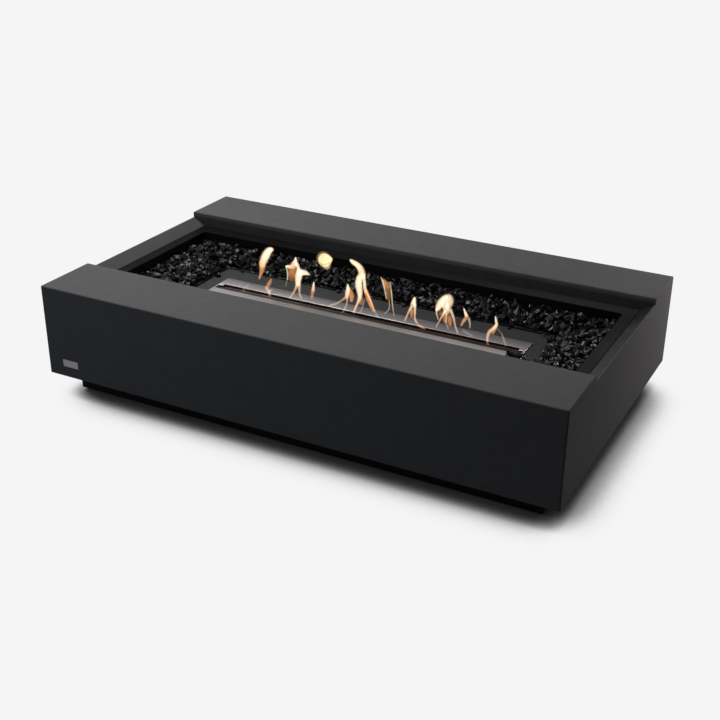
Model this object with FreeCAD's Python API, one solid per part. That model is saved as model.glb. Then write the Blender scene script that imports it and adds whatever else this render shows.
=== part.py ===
import FreeCAD
import Part
import math
import os
import random

# Fire pit table: a cast body with two raised bars, a dropped glass tray and a linear burner with a shutter.
# Millimetres. X runs along the table, -Y is its front and Z is up. The origin is on the floor, centred.

Vector = FreeCAD.Vector
X_AXIS = Vector(1, 0, 0)
Y_AXIS = Vector(0, 1, 0)
Z_AXIS = Vector(0, 0, 1)
SIDES = (-1, 1)
OVERRUN = 5.0              # how far a cutting shape runs past the face it cuts
SAME = 1e-6                # two positions closer than this are one

# Cast body
LENGTH = 1260.0
DEPTH = 756.0
BODY_HEIGHT = 221.0
BASE_HEIGHT = 54.0         # underside of the cast body above the floor
FRONT_BAR_DEPTH = 165.0    # front to back, the raised bar at the front
REAR_BAR_DEPTH = 155.0
END_STEP = 14.0            # outer edge of an end rim below the bar tops
END_SLOPE_RUN = 33.0       # width of the slope on an end rim
FLANGE_DROP = 34.0         # tray flange below the bar tops
CAST_WALL = 18.0
CAST_LEDGE = 34.0          # width of the ledge in front of the rear bar
CAST_END_LEDGE = 24.0      # width of the ledge at an end
CAST_LIP = 16.0            # thickness of the rib that hangs round the opening
CAST_LIP_DEPTH = 60.0
CAST_FOOT = 95.0           # width of the bearing face under the body
CAST_ROUND = 3.0
END_RIM_ROUND = 1.2        # outer edge of an end rim
RIB_THICKNESS = 14.0
RIB_DEPTH = 70.0           # below the underside of the bar top
RIB_COUNT = 3

# Seat of the bare plate, low on the left of the front
BARE_PLATE_LENGTH = 44.0
BARE_PLATE_HEIGHT = 18.5
BARE_PLATE_DEPTH = 1.0
BARE_PLATE_FROM_END = 42.0
BARE_PLATE_RISE = 26.5     # above the underside of the body

# Plinth
PLINTH_END_INSET = 48.0
PLINTH_SIDE_INSET = 50.0
PLINTH_LIFT = 4.0          # underside of the rails above the floor
RAIL_WIDTH = 40.0
RAIL_WALL = 3.0
MITRE_GAP = 0.2
BRACES = 2
BRACE_WIDTH = 40.0
GUSSET_SIDE = 110.0
GUSSET_CORNER = 45.0       # cut off the inner corner of a gusset
GUSSET_THICKNESS = 3.0

# Screws and inserts between the plinth and the body
SCREW_RADIUS = 4.0
SCREW_LENGTH = 18.0
SCREW_HEAD_RADIUS = 7.0
SCREW_HEAD_HEIGHT = 4.5
SCREW_SOCKET_FLATS = 5.0
SCREW_SOCKET_DEPTH = 2.5
INSERT_RADIUS = 7.0
INSERT_LENGTH = 14.0
SCREWS_PER_SIDE = 3
SCREWS_PER_END = 2
SCREW_FROM_END = 82.0      # along the front and rear rails
END_SCREW_FROM_END = 118.0
SCREW_CLEARANCE = 0.5
SEAT_GAP = 0.05            # round pieces of one body that sit in each other

# Levelling feet
FOOT_PAD_RADIUS = 20.0
FOOT_PAD_HEIGHT = 6.0
FOOT_PAD_ROUND = 2.0
FOOT_NECK_RADIUS = 9.0
FOOT_FROM_RAIL = 24.0      # centre of a foot inside the rails' inner edge
STUD_RADIUS = 5.0
STUD_LENGTH = 42.0
STUD_TIP = 1.0
STUD_GAP = 0.05
FOOT_SOCKET_RADIUS = 9.0
FOOT_SOCKET_HEIGHT = 16.0
NUT_FLATS = 17.0
NUT_HEIGHT = 8.0

# Glass tray
TRAY_WALL = 2.0
TRAY_CLEARANCE = 3.0       # between the tray wall and the body's opening
TRAY_DEPTH = 62.0          # flange top to floor top
TRAY_CORNER = 6.0
TRAY_MOUTH_ROUND = 1.8
TRAY_BEND = 2.5
FLANGE_GAP = 1.5           # flange edge to the body
FLANGE_CORNER = 3.0
LEDGE_PAD = 1.0            # height of a flange pad
FLANGE_PAD_LENGTH = 60.0
FLANGE_PAD_WIDTH = 20.0
FLANGE_PADS_PER_SIDE = 4
STIFFENER_END_INSET = 15.0  # inside the jacket's end
STIFFENER_WIDTH = 36.0
STIFFENER_BRIM = 10.0
STIFFENER_HEIGHT = 14.0
STIFFENER_WALL = 1.5
DRAIN_RADIUS = 6.0
DRAIN_BORE = 4.0
DRAIN_BRIM = 9.0
DRAIN_BRIM_HEIGHT = 2.0
DRAIN_FROM_CORNER = 40.0

# Glass
BED_GAP = 0.3              # bed to tray wall
BED_BURNER_GAP = 2.0       # bed to cover plate
BED_EDGE_HEIGHT = 6.0      # beside the cover plate
BED_WALL_HEIGHT = 35.0     # at the tray wall
CHIP_PITCH = 26.0
CHIP_WIDTH = 18.0
CHIP_HEIGHT = 11.0
CHIP_SIDES = 5
CHIP_FOOT = 0.72           # underside of a chip against its waist
CHIP_TURN = 0.2            # how far a corner strays round the chip, in corner spacings
CHIP_NARROWEST = 0.72      # corner nearest the middle against the furthest
CHIP_LOWEST = 0.75         # flattest and tallest chip against the usual height
CHIP_HIGHEST = 1.25
CHIP_WAIST_LOW = 0.35      # waist of a chip between these shares of its height
CHIP_WAIST_HIGH = 0.6
CHIP_PEAK_OFFSET = 0.3     # peak off the middle, against the half width
CHIP_SPARE = 0.5           # least room left round a chip in its place
CHIP_STAGGER = 0.25        # rows shifted one against the next, in chip spacings
CHIP_SEAT = 0.03           # chip above the bed
CHIP_SEEDS = (11, 12, 13, 14)

# Burner
RIM_LENGTH = 814.0
RIM_WIDTH = 102.0
TANK_END_INSET = 7.0       # tank end inside the rim's end
TANK_SIDE_ROOM = 13.0      # tank side outside the rim's side
JACKET_END_ROOM = 22.0     # jacket end outside the tank's end
JACKET_SIDE_ROOM = 24.0
PLATE_END_BRIM = 26.0      # cover plate past the jacket
PLATE_SIDE_BRIM = 24.0
PLATE_THICKNESS = 3.0
PLATE_CORNER = 3.0
SEAT_PAD_HEIGHT = 1.0
SEAT_PAD_LENGTH = 60.0
SEAT_PAD_WIDTH = 12.0
JACKET_HEIGHT = 120.0
JACKET_CLEARANCE = 3.0     # in the tray floor's cut-out
SHEET = 1.5
JACKET_CORNER = 10.0
TANK_RISE = 10.0           # above the jacket floor
TANK_CORNER = 8.0
SPACERS = 3
SPACER_LENGTH = 24.0
SPACER_SIDE_INSET = 18.0
SPACER_ROUND = 4.0
SPACER_FROM_END = 60.0
BAFFLE_SLOTS = 13
BAFFLE_WEB = 16.0          # between two slots
BAFFLE_SLOT_WIDTH = 12.0
WOOL_HEIGHT = 60.0
WOOL_BLOCKS = 3
WOOL_GAP = 2.0
RIM_THICKNESS = 3.0
RIM_END = 15.5
RIM_REAR = 37.0
RIM_FRONT = 35.0
RIM_ROUND = 0.8
NOTCH_WIDTH = 19.0         # slot in each end of the rim, over the shutter's tab
NOTCH_END_GAP = 2.0        # past the end of the tab
PAN_BEARING_END = 5.5      # rim outside the deck pan
PAN_BEARING_FRONT = 4.5
PAN_BEARING_REAR = 27.0
PAN_CLEARANCE = 1.0        # pan to the cover plate's window
SHUTTER_DROP = 4.0         # top of the shutter below the rim's top
SHUTTER_THICKNESS = 1.5
SHUTTER_RUN = 0.05         # shutter above the deck
SHUTTER_WIDTH = 28.0
SHUTTER_END_GAP = 1.0
SHUTTER_TAB_WIDTH = 14.0
SHUTTER_TAB = 9.0
SHUTTER_TAB_ROUND = 2.0
SLOT_WIDTH = 19.5
SLOT_END_GAP = 4.0
SLOT_OPEN = 10.5           # width of the slot left open at rest
HOOK_RADIUS = 3.0
HOOK_FROM_END = 12.0

# Levels and half sizes that follow
HALF_LENGTH = LENGTH / 2
HALF_DEPTH = DEPTH / 2
TOP = BASE_HEIGHT + BODY_HEIGHT
RIM_LEVEL = TOP - END_STEP
FLANGE_TOP = TOP - FLANGE_DROP
LEDGE = FLANGE_TOP - TRAY_WALL - LEDGE_PAD
REAR_FACE = HALF_DEPTH - REAR_BAR_DEPTH
FRONT_FACE = FRONT_BAR_DEPTH - HALF_DEPTH
SLOPE_FOOT = HALF_LENGTH - END_SLOPE_RUN
OPENING_X = SLOPE_FOOT - CAST_END_LEDGE
OPENING_Y = REAR_FACE - CAST_LEDGE
TRAY_X = OPENING_X - TRAY_CLEARANCE
TRAY_Y = OPENING_Y - TRAY_CLEARANCE
TRAY_IN_X = TRAY_X - TRAY_WALL
TRAY_IN_Y = TRAY_Y - TRAY_WALL
TANK_LENGTH = RIM_LENGTH - 2 * TANK_END_INSET
TANK_WIDTH = RIM_WIDTH + 2 * TANK_SIDE_ROOM
JACKET_LENGTH = TANK_LENGTH + 2 * JACKET_END_ROOM
JACKET_WIDTH = TANK_WIDTH + 2 * JACKET_SIDE_ROOM
PLATE_LENGTH = JACKET_LENGTH + 2 * PLATE_END_BRIM
PLATE_WIDTH = JACKET_WIDTH + 2 * PLATE_SIDE_BRIM
STIFFENER_LENGTH = JACKET_LENGTH - 2 * STIFFENER_END_INSET
FLOOR = FLANGE_TOP - TRAY_DEPTH
PLATE_BOTTOM = FLOOR + SEAT_PAD_HEIGHT
PLATE_TOP = PLATE_BOTTOM + PLATE_THICKNESS
RIM_TOP = PLATE_TOP + RIM_THICKNESS
SHUTTER_TOP = RIM_TOP - SHUTTER_DROP
DECK_TOP = SHUTTER_TOP - SHUTTER_THICKNESS - SHUTTER_RUN
DECK_BOTTOM = DECK_TOP - SHEET
RIM_BACK = RIM_WIDTH / 2
WELL_BACK = RIM_BACK - RIM_REAR
WELL_FRONT = -RIM_BACK + RIM_FRONT
WELL_X = RIM_LENGTH / 2 - RIM_END
PAN_X = RIM_LENGTH / 2 - PAN_BEARING_END
PAN_FRONT = -RIM_BACK + PAN_BEARING_FRONT
PAN_BACK = RIM_BACK - PAN_BEARING_REAR
SLOT_BACK = WELL_BACK - SHEET
SLOT_FRONT = SLOT_BACK - SLOT_WIDTH
SHUTTER_BACK = SLOT_BACK - SLOT_OPEN
PLINTH_X = HALF_LENGTH - PLINTH_END_INSET
PLINTH_Y = HALF_DEPTH - PLINTH_SIDE_INSET
FOOT_X = PLINTH_X - RAIL_WIDTH - FOOT_FROM_RAIL
FOOT_Y = PLINTH_Y - RAIL_WIDTH - FOOT_FROM_RAIL
GUSSET_BOTTOM = PLINTH_LIFT + RAIL_WALL
JACKET_FLOOR = PLATE_BOTTOM - JACKET_HEIGHT


def block(x0, x1, y0, y1, z0, z1):
    return Part.makeBox(x1 - x0, y1 - y0, z1 - z0, Vector(x0, y0, z0))


def runs_along(edge, axis):
    return abs(edge.tangentAt(edge.FirstParameter).dot(axis)) > 1 - SAME


def rounded_block(x0, x1, y0, y1, z0, z1, radius):
    """A block with its four upright edges rounded."""
    plain = block(x0, x1, y0, y1, z0, z1)
    return plain.makeFillet(radius, [e for e in plain.Edges if runs_along(e, Z_AXIS)])


def centred(half_x, half_y, z0, z1, radius=0.0):
    if radius:
        return rounded_block(-half_x, half_x, -half_y, half_y, z0, z1, radius)
    return block(-half_x, half_x, -half_y, half_y, z0, z1)


def prism(points, run):
    """A closed outline of points, extruded along a vector."""
    corners = [Vector(*p) for p in points]
    return Part.Face(Part.makePolygon(corners + corners[:1])).extrude(run)


def rod(x, y, z0, z1, radius):
    return Part.makeCylinder(radius, z1 - z0, Vector(x, y, z0), Z_AXIS)


def hexagon(x, y, z0, z1, flats):
    reach = flats / 2 / math.cos(math.pi / 6)
    turns = [k * math.pi / 3 for k in range(6)]
    ring = [(x + reach * math.cos(turn), y + reach * math.sin(turn), z0) for turn in turns]
    return prism(ring, Z_AXIS * (z1 - z0))


def obround(x, y, z0, z1, length, width):
    half = (length - width) / 2
    middle = block(x - half, x + half, y - width / 2, y + width / 2, z0, z1)
    ends = [rod(x + side * half, y, z0, z1, width / 2) for side in SIDES]
    return middle.fuse(ends).removeSplitter()


def spread(count, spacing):
    """Positions of a row, centred on zero."""
    return [(k - (count - 1) / 2) * spacing for k in range(count)]


def save(name, *shapes):
    solids = [solid for shape in shapes for solid in shape.Solids]
    whole = solids[0] if len(solids) == 1 else Part.makeCompound(solids)
    whole.exportStep(os.path.join("parts", name + ".step"))


# Cast body

def well_between_bars(drop, spread_y):
    """The space over the ledge and the two end slopes, lowered by drop and widened by spread_y."""
    fall = (RIM_LEVEL - FLANGE_TOP) / END_SLOPE_RUN
    outside = HALF_LENGTH + OVERRUN
    half = [(SLOPE_FOOT, LEDGE - drop), (SLOPE_FOOT, FLANGE_TOP - drop),
            (outside, RIM_LEVEL - drop + fall * OVERRUN), (outside, TOP + OVERRUN)]
    outline = [(x, z) for x, z in half] + [(-x, z) for x, z in reversed(half)]
    front, back = FRONT_FACE - spread_y, REAR_FACE + spread_y
    return prism([(x, front, z) for x, z in outline], Y_AXIS * (back - front))


def cast_outside():
    """Two raised bars and the lower end rims, with every outer edge rounded."""
    shape = centred(HALF_LENGTH, HALF_DEPTH, BASE_HEIGHT, TOP).cut(well_between_bars(0, 0))

    def rounded(edge):
        middle = edge.CenterOfMass
        corner = runs_along(edge, Z_AXIS) and abs(abs(middle.y) - HALF_DEPTH) < SAME
        on_top = abs(middle.z - TOP) < SAME
        underside = abs(middle.z - BASE_HEIGHT) < SAME
        return corner or on_top or underside

    def end_rim(edge):
        return runs_along(edge, Y_AXIS) and abs(edge.CenterOfMass.z - RIM_LEVEL) < SAME

    shape = shape.makeFillet(END_RIM_ROUND, [e for e in shape.Edges if end_rim(e)])
    return shape.makeFillet(CAST_ROUND, [e for e in shape.Edges if rounded(e)])


def cast_core():
    """What is hollow under the bars and end rims."""
    inside_x, inside_y = HALF_LENGTH - CAST_WALL, HALF_DEPTH - CAST_WALL
    core = centred(inside_x, inside_y, BASE_HEIGHT + CAST_WALL, TOP - CAST_WALL)
    lip = centred(OPENING_X + CAST_LIP, OPENING_Y + CAST_LIP, LEDGE - CAST_LIP_DEPTH, LEDGE)
    core = core.cut([well_between_bars(CAST_WALL, CAST_WALL), lip])
    rib_bottom = TOP - CAST_WALL - RIB_DEPTH
    ribs = [block(x - RIB_THICKNESS / 2, x + RIB_THICKNESS / 2, -HALF_DEPTH, HALF_DEPTH, rib_bottom, TOP)
            for x in spread(RIB_COUNT, 2 * OPENING_X / RIB_COUNT)]
    return core.cut(ribs)


def screw_places():
    """Centres of the screws that hold the plinth up against the body."""
    along = PLINTH_Y - RAIL_WIDTH / 2
    across = PLINTH_X - RAIL_WIDTH / 2
    side_pitch = 2 * (PLINTH_X - SCREW_FROM_END) / (SCREWS_PER_SIDE - 1)
    end_pitch = 2 * (PLINTH_Y - END_SCREW_FROM_END) / (SCREWS_PER_END - 1)
    sides = [(x, side * along) for side in SIDES for x in spread(SCREWS_PER_SIDE, side_pitch)]
    ends = [(side * across, y) for side in SIDES for y in spread(SCREWS_PER_END, end_pitch)]
    return sides + ends


def bare_plate_seat():
    left = BARE_PLATE_FROM_END - HALF_LENGTH
    low = BASE_HEIGHT + BARE_PLATE_RISE
    return block(left, left + BARE_PLATE_LENGTH, -HALF_DEPTH - OVERRUN, BARE_PLATE_DEPTH - HALF_DEPTH,
                 low, low + BARE_PLATE_HEIGHT)


def cast_body():
    opening = centred(OPENING_X, OPENING_Y, BASE_HEIGHT, LEDGE + OVERRUN, TRAY_CORNER + TRAY_CLEARANCE)
    under = centred(HALF_LENGTH - CAST_FOOT, HALF_DEPTH - CAST_FOOT, BASE_HEIGHT - OVERRUN,
                    BASE_HEIGHT + CAST_WALL + OVERRUN)
    holes = [rod(x, y, BASE_HEIGHT - OVERRUN, BASE_HEIGHT + INSERT_LENGTH, INSERT_RADIUS + SEAT_GAP)
             for x, y in screw_places()]
    return cast_outside().cut([cast_core(), opening, under, bare_plate_seat()]).cut(holes)


def cast_inserts():
    """Threaded sleeves cast into the underside."""
    return [rod(x, y, BASE_HEIGHT, BASE_HEIGHT + INSERT_LENGTH, INSERT_RADIUS).cut(
        rod(x, y, BASE_HEIGHT - OVERRUN, BASE_HEIGHT + INSERT_LENGTH + OVERRUN, SCREW_RADIUS + SEAT_GAP))
        for x, y in screw_places()]


# Plinth

def rail_section(length):
    """A channel along X with its web on the outside at -Y, its ends cut at 45 degrees."""
    back, front = RAIL_WIDTH, 0.0
    low, high = PLINTH_LIFT, BASE_HEIGHT
    outline = [(front, low), (back, low), (back, low + RAIL_WALL), (front + RAIL_WALL, low + RAIL_WALL),
               (front + RAIL_WALL, high - RAIL_WALL), (back, high - RAIL_WALL), (back, high), (front, high)]
    rail = prism([(-length / 2, y, z) for y, z in outline], X_AXIS * length)
    bend = [e for e in rail.Edges if runs_along(e, X_AXIS) and abs(e.CenterOfMass.y) < SAME]
    rail = rail.makeFillet(RAIL_WALL, bend)
    reach = RAIL_WIDTH + OVERRUN
    for side in SIDES:
        end = side * (length / 2 - MITRE_GAP)
        wedge = [(end, 0, 0), (end - side * reach, reach, 0), (end + side * reach, reach, 0),
                 (end + side * reach, -OVERRUN, 0), (end + side * OVERRUN, -OVERRUN, 0)]
        rail = rail.cut(prism(wedge, Z_AXIS * (BASE_HEIGHT + OVERRUN)))
    return rail


def placed_rail(length, distance, turn):
    rail = rail_section(length)
    rail.translate(Vector(0, -distance, 0))
    rail.rotate(Vector(), Z_AXIS, turn)
    low, high = BASE_HEIGHT - RAIL_WALL - OVERRUN, BASE_HEIGHT + OVERRUN
    return rail.cut([rod(x, y, low, high, SCREW_RADIUS + SCREW_CLEARANCE) for x, y in screw_places()])


def plinth_rails():
    long_side, short_side = 2 * PLINTH_X, 2 * PLINTH_Y
    return {"plinth_front_rail": placed_rail(long_side, PLINTH_Y, 0),
            "plinth_right_rail": placed_rail(short_side, PLINTH_X, 90),
            "plinth_rear_rail": placed_rail(long_side, PLINTH_Y, 180),
            "plinth_left_rail": placed_rail(short_side, PLINTH_X, 270)}


def plinth_braces():
    """Channels across the plinth, inside the front and rear rails."""
    low, high = PLINTH_LIFT + RAIL_WALL, BASE_HEIGHT - RAIL_WALL
    reach = PLINTH_Y - RAIL_WALL
    braces = []
    for x in spread(BRACES, PLINTH_X):
        inner = math.copysign(1, -x)
        lower = [(0, low), (BRACE_WIDTH, low), (BRACE_WIDTH, low + RAIL_WALL), (RAIL_WALL, low + RAIL_WALL)]
        upper = [(u, low + high - z) for u, z in reversed(lower)]
        outline = lower + upper
        braces.append(prism([(x + inner * u, -reach, z) for u, z in outline], Y_AXIS * 2 * reach))
    return braces


def foot_places():
    return [(sx * FOOT_X, sy * FOOT_Y) for sy in SIDES for sx in SIDES]


def corner_gussets():
    """Plates on the lower flanges of the rails, one in each corner, with a hole for the foot."""
    gussets = []
    for x, y in foot_places():
        sx, sy = math.copysign(1, x), math.copysign(1, y)
        corner_x, corner_y = sx * (PLINTH_X - RAIL_WALL), sy * (PLINTH_Y - RAIL_WALL)
        far = GUSSET_SIDE
        outline = [(0, 0), (far, 0), (far, far - GUSSET_CORNER), (far - GUSSET_CORNER, far), (0, far)]
        ring = [(corner_x - sx * u, corner_y - sy * v, GUSSET_BOTTOM) for u, v in outline]
        plate = prism(ring, Z_AXIS * GUSSET_THICKNESS)
        gussets.append(plate.cut(rod(x, y, 0, BASE_HEIGHT, STUD_RADIUS + SCREW_CLEARANCE)))
    return gussets


def foot_sockets():
    """Threaded bosses welded on the gussets."""
    low = GUSSET_BOTTOM + GUSSET_THICKNESS
    return [rod(x, y, low, low + FOOT_SOCKET_HEIGHT, FOOT_SOCKET_RADIUS).cut(
        rod(x, y, 0, BASE_HEIGHT, STUD_RADIUS + STUD_GAP)) for x, y in foot_places()]


def foot_lock_nuts():
    low = GUSSET_BOTTOM + GUSSET_THICKNESS + FOOT_SOCKET_HEIGHT
    nuts = []
    for x, y in foot_places():
        bore = rod(x, y, 0, BASE_HEIGHT, STUD_RADIUS + STUD_GAP)
        nuts.append(hexagon(x, y, low, low + NUT_HEIGHT, NUT_FLATS).cut(bore))
    return nuts


def foot_pad(x, y):
    """A turned rubber pad with a dished top."""
    section = [(0, 0, 0), (FOOT_PAD_RADIUS, 0, 0), (FOOT_PAD_RADIUS, 0, FOOT_PAD_HEIGHT - FOOT_PAD_ROUND),
               (FOOT_PAD_RADIUS - FOOT_PAD_ROUND, 0, FOOT_PAD_HEIGHT - FOOT_PAD_ROUND / 2),
               (FOOT_NECK_RADIUS, 0, FOOT_PAD_HEIGHT), (0, 0, FOOT_PAD_HEIGHT)]
    corners = [Vector(*p) for p in section]
    pad = Part.Face(Part.makePolygon(corners + corners[:1])).revolve(Vector(), Z_AXIS, 360)
    pad.translate(Vector(x, y, 0))
    return pad


def foot_stud(x, y):
    stud = rod(x, y, FOOT_PAD_HEIGHT, FOOT_PAD_HEIGHT + STUD_LENGTH, STUD_RADIUS)
    tip = [e for e in stud.Edges if e.CenterOfMass.z > FOOT_PAD_HEIGHT + STUD_LENGTH - SAME]
    return stud.makeChamfer(STUD_TIP, tip)


def plinth_screws():
    screws = []
    seat = BASE_HEIGHT - RAIL_WALL
    low = seat - SCREW_HEAD_HEIGHT
    for x, y in screw_places():
        head = rod(x, y, low, seat, SCREW_HEAD_RADIUS)
        shank = rod(x, y, seat, low + SCREW_LENGTH, SCREW_RADIUS)
        socket = hexagon(x, y, low - OVERRUN, low + SCREW_SOCKET_DEPTH, SCREW_SOCKET_FLATS)
        screws.append(head.fuse(shank).cut(socket).removeSplitter())
    return screws


# Glass tray

def drain_places():
    return [(sx * (TRAY_IN_X - DRAIN_FROM_CORNER), sy * (TRAY_IN_Y - DRAIN_FROM_CORNER))
            for sy in SIDES for sx in SIDES]


def glass_tray():
    """Folded sheet: a flat flange ring, upright walls and a floor cut out for the burner."""
    flange_x = SLOPE_FOOT - FLANGE_GAP
    flange_front, flange_back = FRONT_FACE + FLANGE_GAP, REAR_FACE - FLANGE_GAP
    bottom = FLOOR - TRAY_WALL
    pan = centred(TRAY_X, TRAY_Y, bottom, FLANGE_TOP, TRAY_CORNER + TRAY_WALL)
    low = [e for e in pan.Edges if abs(e.CenterOfMass.z - bottom) < SAME]
    pan = pan.makeFillet(TRAY_BEND, low)
    flange = rounded_block(-flange_x, flange_x, flange_front, flange_back, FLANGE_TOP - TRAY_WALL, FLANGE_TOP,
                           FLANGE_CORNER)
    inside = centred(TRAY_IN_X, TRAY_IN_Y, FLOOR, FLANGE_TOP + OVERRUN, TRAY_CORNER)
    tray = pan.fuse(flange).removeSplitter().cut(inside)
    cut_out = centred(JACKET_LENGTH / 2 + JACKET_CLEARANCE, JACKET_WIDTH / 2 + JACKET_CLEARANCE,
                      bottom - OVERRUN, FLOOR + OVERRUN, JACKET_CORNER + JACKET_CLEARANCE)
    drains = [rod(x, y, bottom - OVERRUN, FLOOR + OVERRUN, DRAIN_RADIUS) for x, y in drain_places()]
    tray = tray.cut([cut_out] + drains)

    def mouth(edge):
        box = edge.BoundBox
        inside_x = max(abs(box.XMin), abs(box.XMax)) < TRAY_X
        inside_y = max(abs(box.YMin), abs(box.YMax)) < TRAY_Y
        return inside_x and inside_y and abs(edge.CenterOfMass.z - FLANGE_TOP) < SAME

    return tray.makeFillet(TRAY_MOUTH_ROUND, [e for e in tray.Edges if mouth(e)])


def tray_stiffeners():
    """Top-hat channels under the floor, one each side of the burner."""
    top = FLOOR - TRAY_WALL
    half, wall, brim = STIFFENER_WIDTH / 2, STIFFENER_WALL, STIFFENER_BRIM
    low = top - STIFFENER_HEIGHT
    outer = [(half + brim, top), (half + brim, top - wall), (half, top - wall), (half, low)]
    inner = [(wall - half, top), (wall - half, low + wall), (half - wall, low + wall), (half - wall, top)]
    outline = outer + [(-y, z) for y, z in reversed(outer)] + inner
    middle = (JACKET_WIDTH / 2 + JACKET_CLEARANCE + TRAY_IN_Y) / 2
    start = -STIFFENER_LENGTH / 2
    return [prism([(start, side * middle + y, z) for y, z in outline], X_AXIS * STIFFENER_LENGTH)
            for side in SIDES]


def drain_bushes():
    bottom = FLOOR - TRAY_WALL
    return [rod(x, y, bottom - DRAIN_BRIM_HEIGHT, bottom, DRAIN_BRIM)
            .fuse(rod(x, y, bottom, FLOOR, DRAIN_RADIUS - SEAT_GAP))
            .cut(rod(x, y, bottom - OVERRUN, FLOOR + OVERRUN, DRAIN_BORE)).removeSplitter()
            for x, y in drain_places()]


def pad(x, y, length, width, low, height):
    return block(x - length / 2, x + length / 2, y - width / 2, y + width / 2, low, low + height)


def flange_pads():
    """Thin silicone pads between the tray flange and the ledge."""
    front_y = (FRONT_FACE + FLANGE_GAP - OPENING_Y) / 2
    rear_y = (OPENING_Y + REAR_FACE - FLANGE_GAP) / 2
    middle_x = (OPENING_X + SLOPE_FOOT - FLANGE_GAP) / 2
    pitch = 2 * TRAY_IN_X / FLANGE_PADS_PER_SIDE
    pads = []
    for side, y in zip(SIDES, (front_y, rear_y)):
        for x in spread(FLANGE_PADS_PER_SIDE, pitch):
            pads.append(pad(x, y, FLANGE_PAD_LENGTH, FLANGE_PAD_WIDTH, LEDGE, LEDGE_PAD))
        pads.append(pad(side * middle_x, 0, FLANGE_PAD_WIDTH, FLANGE_PAD_LENGTH, LEDGE, LEDGE_PAD))
    return pads


# Glass

BED_X = TRAY_IN_X - BED_GAP
BED_Y = TRAY_IN_Y - BED_GAP
BED_HOLE_X = PLATE_LENGTH / 2 + BED_BURNER_GAP
BED_HOLE_Y = PLATE_WIDTH / 2 + BED_BURNER_GAP


def rectangle(half_x, half_y, z):
    corners = [Vector(-half_x, -half_y, z), Vector(half_x, -half_y, z),
               Vector(half_x, half_y, z), Vector(-half_x, half_y, z)]
    return Part.makePolygon(corners + corners[:1])


def glass_bed():
    """Crushed glass as one heap, low beside the burner and banked up against the tray walls."""
    heap = centred(BED_X, BED_Y, FLOOR, FLOOR + BED_WALL_HEIGHT, TRAY_CORNER)
    hollow = Part.makeLoft([rectangle(BED_HOLE_X, BED_HOLE_Y, FLOOR + BED_EDGE_HEIGHT),
                            rectangle(BED_X, BED_Y, FLOOR + BED_WALL_HEIGHT)], True, True)
    hole = centred(BED_HOLE_X, BED_HOLE_Y, FLOOR - OVERRUN, FLOOR + BED_WALL_HEIGHT)
    return heap.cut([hollow, hole])


def chip(dice):
    """One broken lump of glass: a flat underside, two uneven rings of corners and a peak off its centre."""
    half = CHIP_WIDTH / 2
    step = 2 * math.pi / CHIP_SIDES
    turn = dice.uniform(0, step)
    height = CHIP_HEIGHT * dice.uniform(CHIP_LOWEST, CHIP_HIGHEST)
    angles = [turn + (k + dice.uniform(-CHIP_TURN, CHIP_TURN)) * step for k in range(CHIP_SIDES)]
    waist = []
    foot = []
    for angle in angles:
        reach = half * dice.uniform(CHIP_NARROWEST, 1.0)
        x, y = reach * math.cos(angle), reach * math.sin(angle)
        waist.append(Vector(x, y, height * dice.uniform(CHIP_WAIST_LOW, CHIP_WAIST_HIGH)))
        foot.append(Vector(CHIP_FOOT * x, CHIP_FOOT * y, 0))
    stray = half * CHIP_PEAK_OFFSET
    peak = Vector(dice.uniform(-stray, stray), dice.uniform(-stray, stray), height)
    corners = [foot]
    for k in range(CHIP_SIDES):
        after = (k + 1) % CHIP_SIDES
        corners.append([foot[k], foot[after], waist[after]])
        corners.append([foot[k], waist[after], waist[k]])
        corners.append([waist[k], waist[after], peak])
    solid = Part.Solid(Part.Shell([Part.Face(Part.makePolygon(ring + ring[:1])) for ring in corners]))
    if solid.Volume < 0:
        solid.reverse()
    return solid


def bank_slope(start, end):
    return (BED_WALL_HEIGHT - BED_EDGE_HEIGHT) / (end - start)


def chip_bank(start, end, side_start, side_end, turn, seed):
    """Loose chips on one bank of the bed, as far as the valleys between it and the banks at its ends.

    The bank rises in -Y from start to end. The banks at its ends rise along X from side_start to side_end.
    Then the whole bank is turned about Z.
    """
    dice = random.Random(seed)
    slope, side_slope = bank_slope(start, end), bank_slope(side_start, side_end)
    valley = CHIP_WIDTH / 2 * math.hypot(slope, side_slope)
    rows = round((end - start) / CHIP_PITCH)
    sway = (CHIP_PITCH - CHIP_WIDTH) / 2 - CHIP_SPARE
    chips = []
    for row in range(rows):
        distance = start + (row + 0.5) * (end - start) / rows
        rise = (distance - start) * slope
        shift = CHIP_STAGGER * CHIP_PITCH * (-1) ** row
        for place in spread(int((2 * side_end - CHIP_PITCH) / CHIP_PITCH), CHIP_PITCH):
            x = place + shift + dice.uniform(-sway, sway)
            if rise - (abs(x) - side_start) * side_slope < valley:
                continue
            lump = chip(dice)
            lump.rotate(Vector(), X_AXIS, -math.degrees(math.atan(slope)))
            lump.translate(Vector(x, -distance, FLOOR + BED_EDGE_HEIGHT + rise + CHIP_SEAT))
            lump.rotate(Vector(), Z_AXIS, turn)
            chips.append(lump)
    return chips


def glass_chips():
    front, right, rear, left = CHIP_SEEDS
    long_bank = (BED_HOLE_Y, BED_Y, BED_HOLE_X, BED_X)
    end_bank = (BED_HOLE_X, BED_X, BED_HOLE_Y, BED_Y)
    return {"glass_chips_front": chip_bank(*long_bank, 0, front),
            "glass_chips_right": chip_bank(*end_bank, 90, right),
            "glass_chips_rear": chip_bank(*long_bank, 180, rear),
            "glass_chips_left": chip_bank(*end_bank, 270, left)}


# Burner

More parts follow.
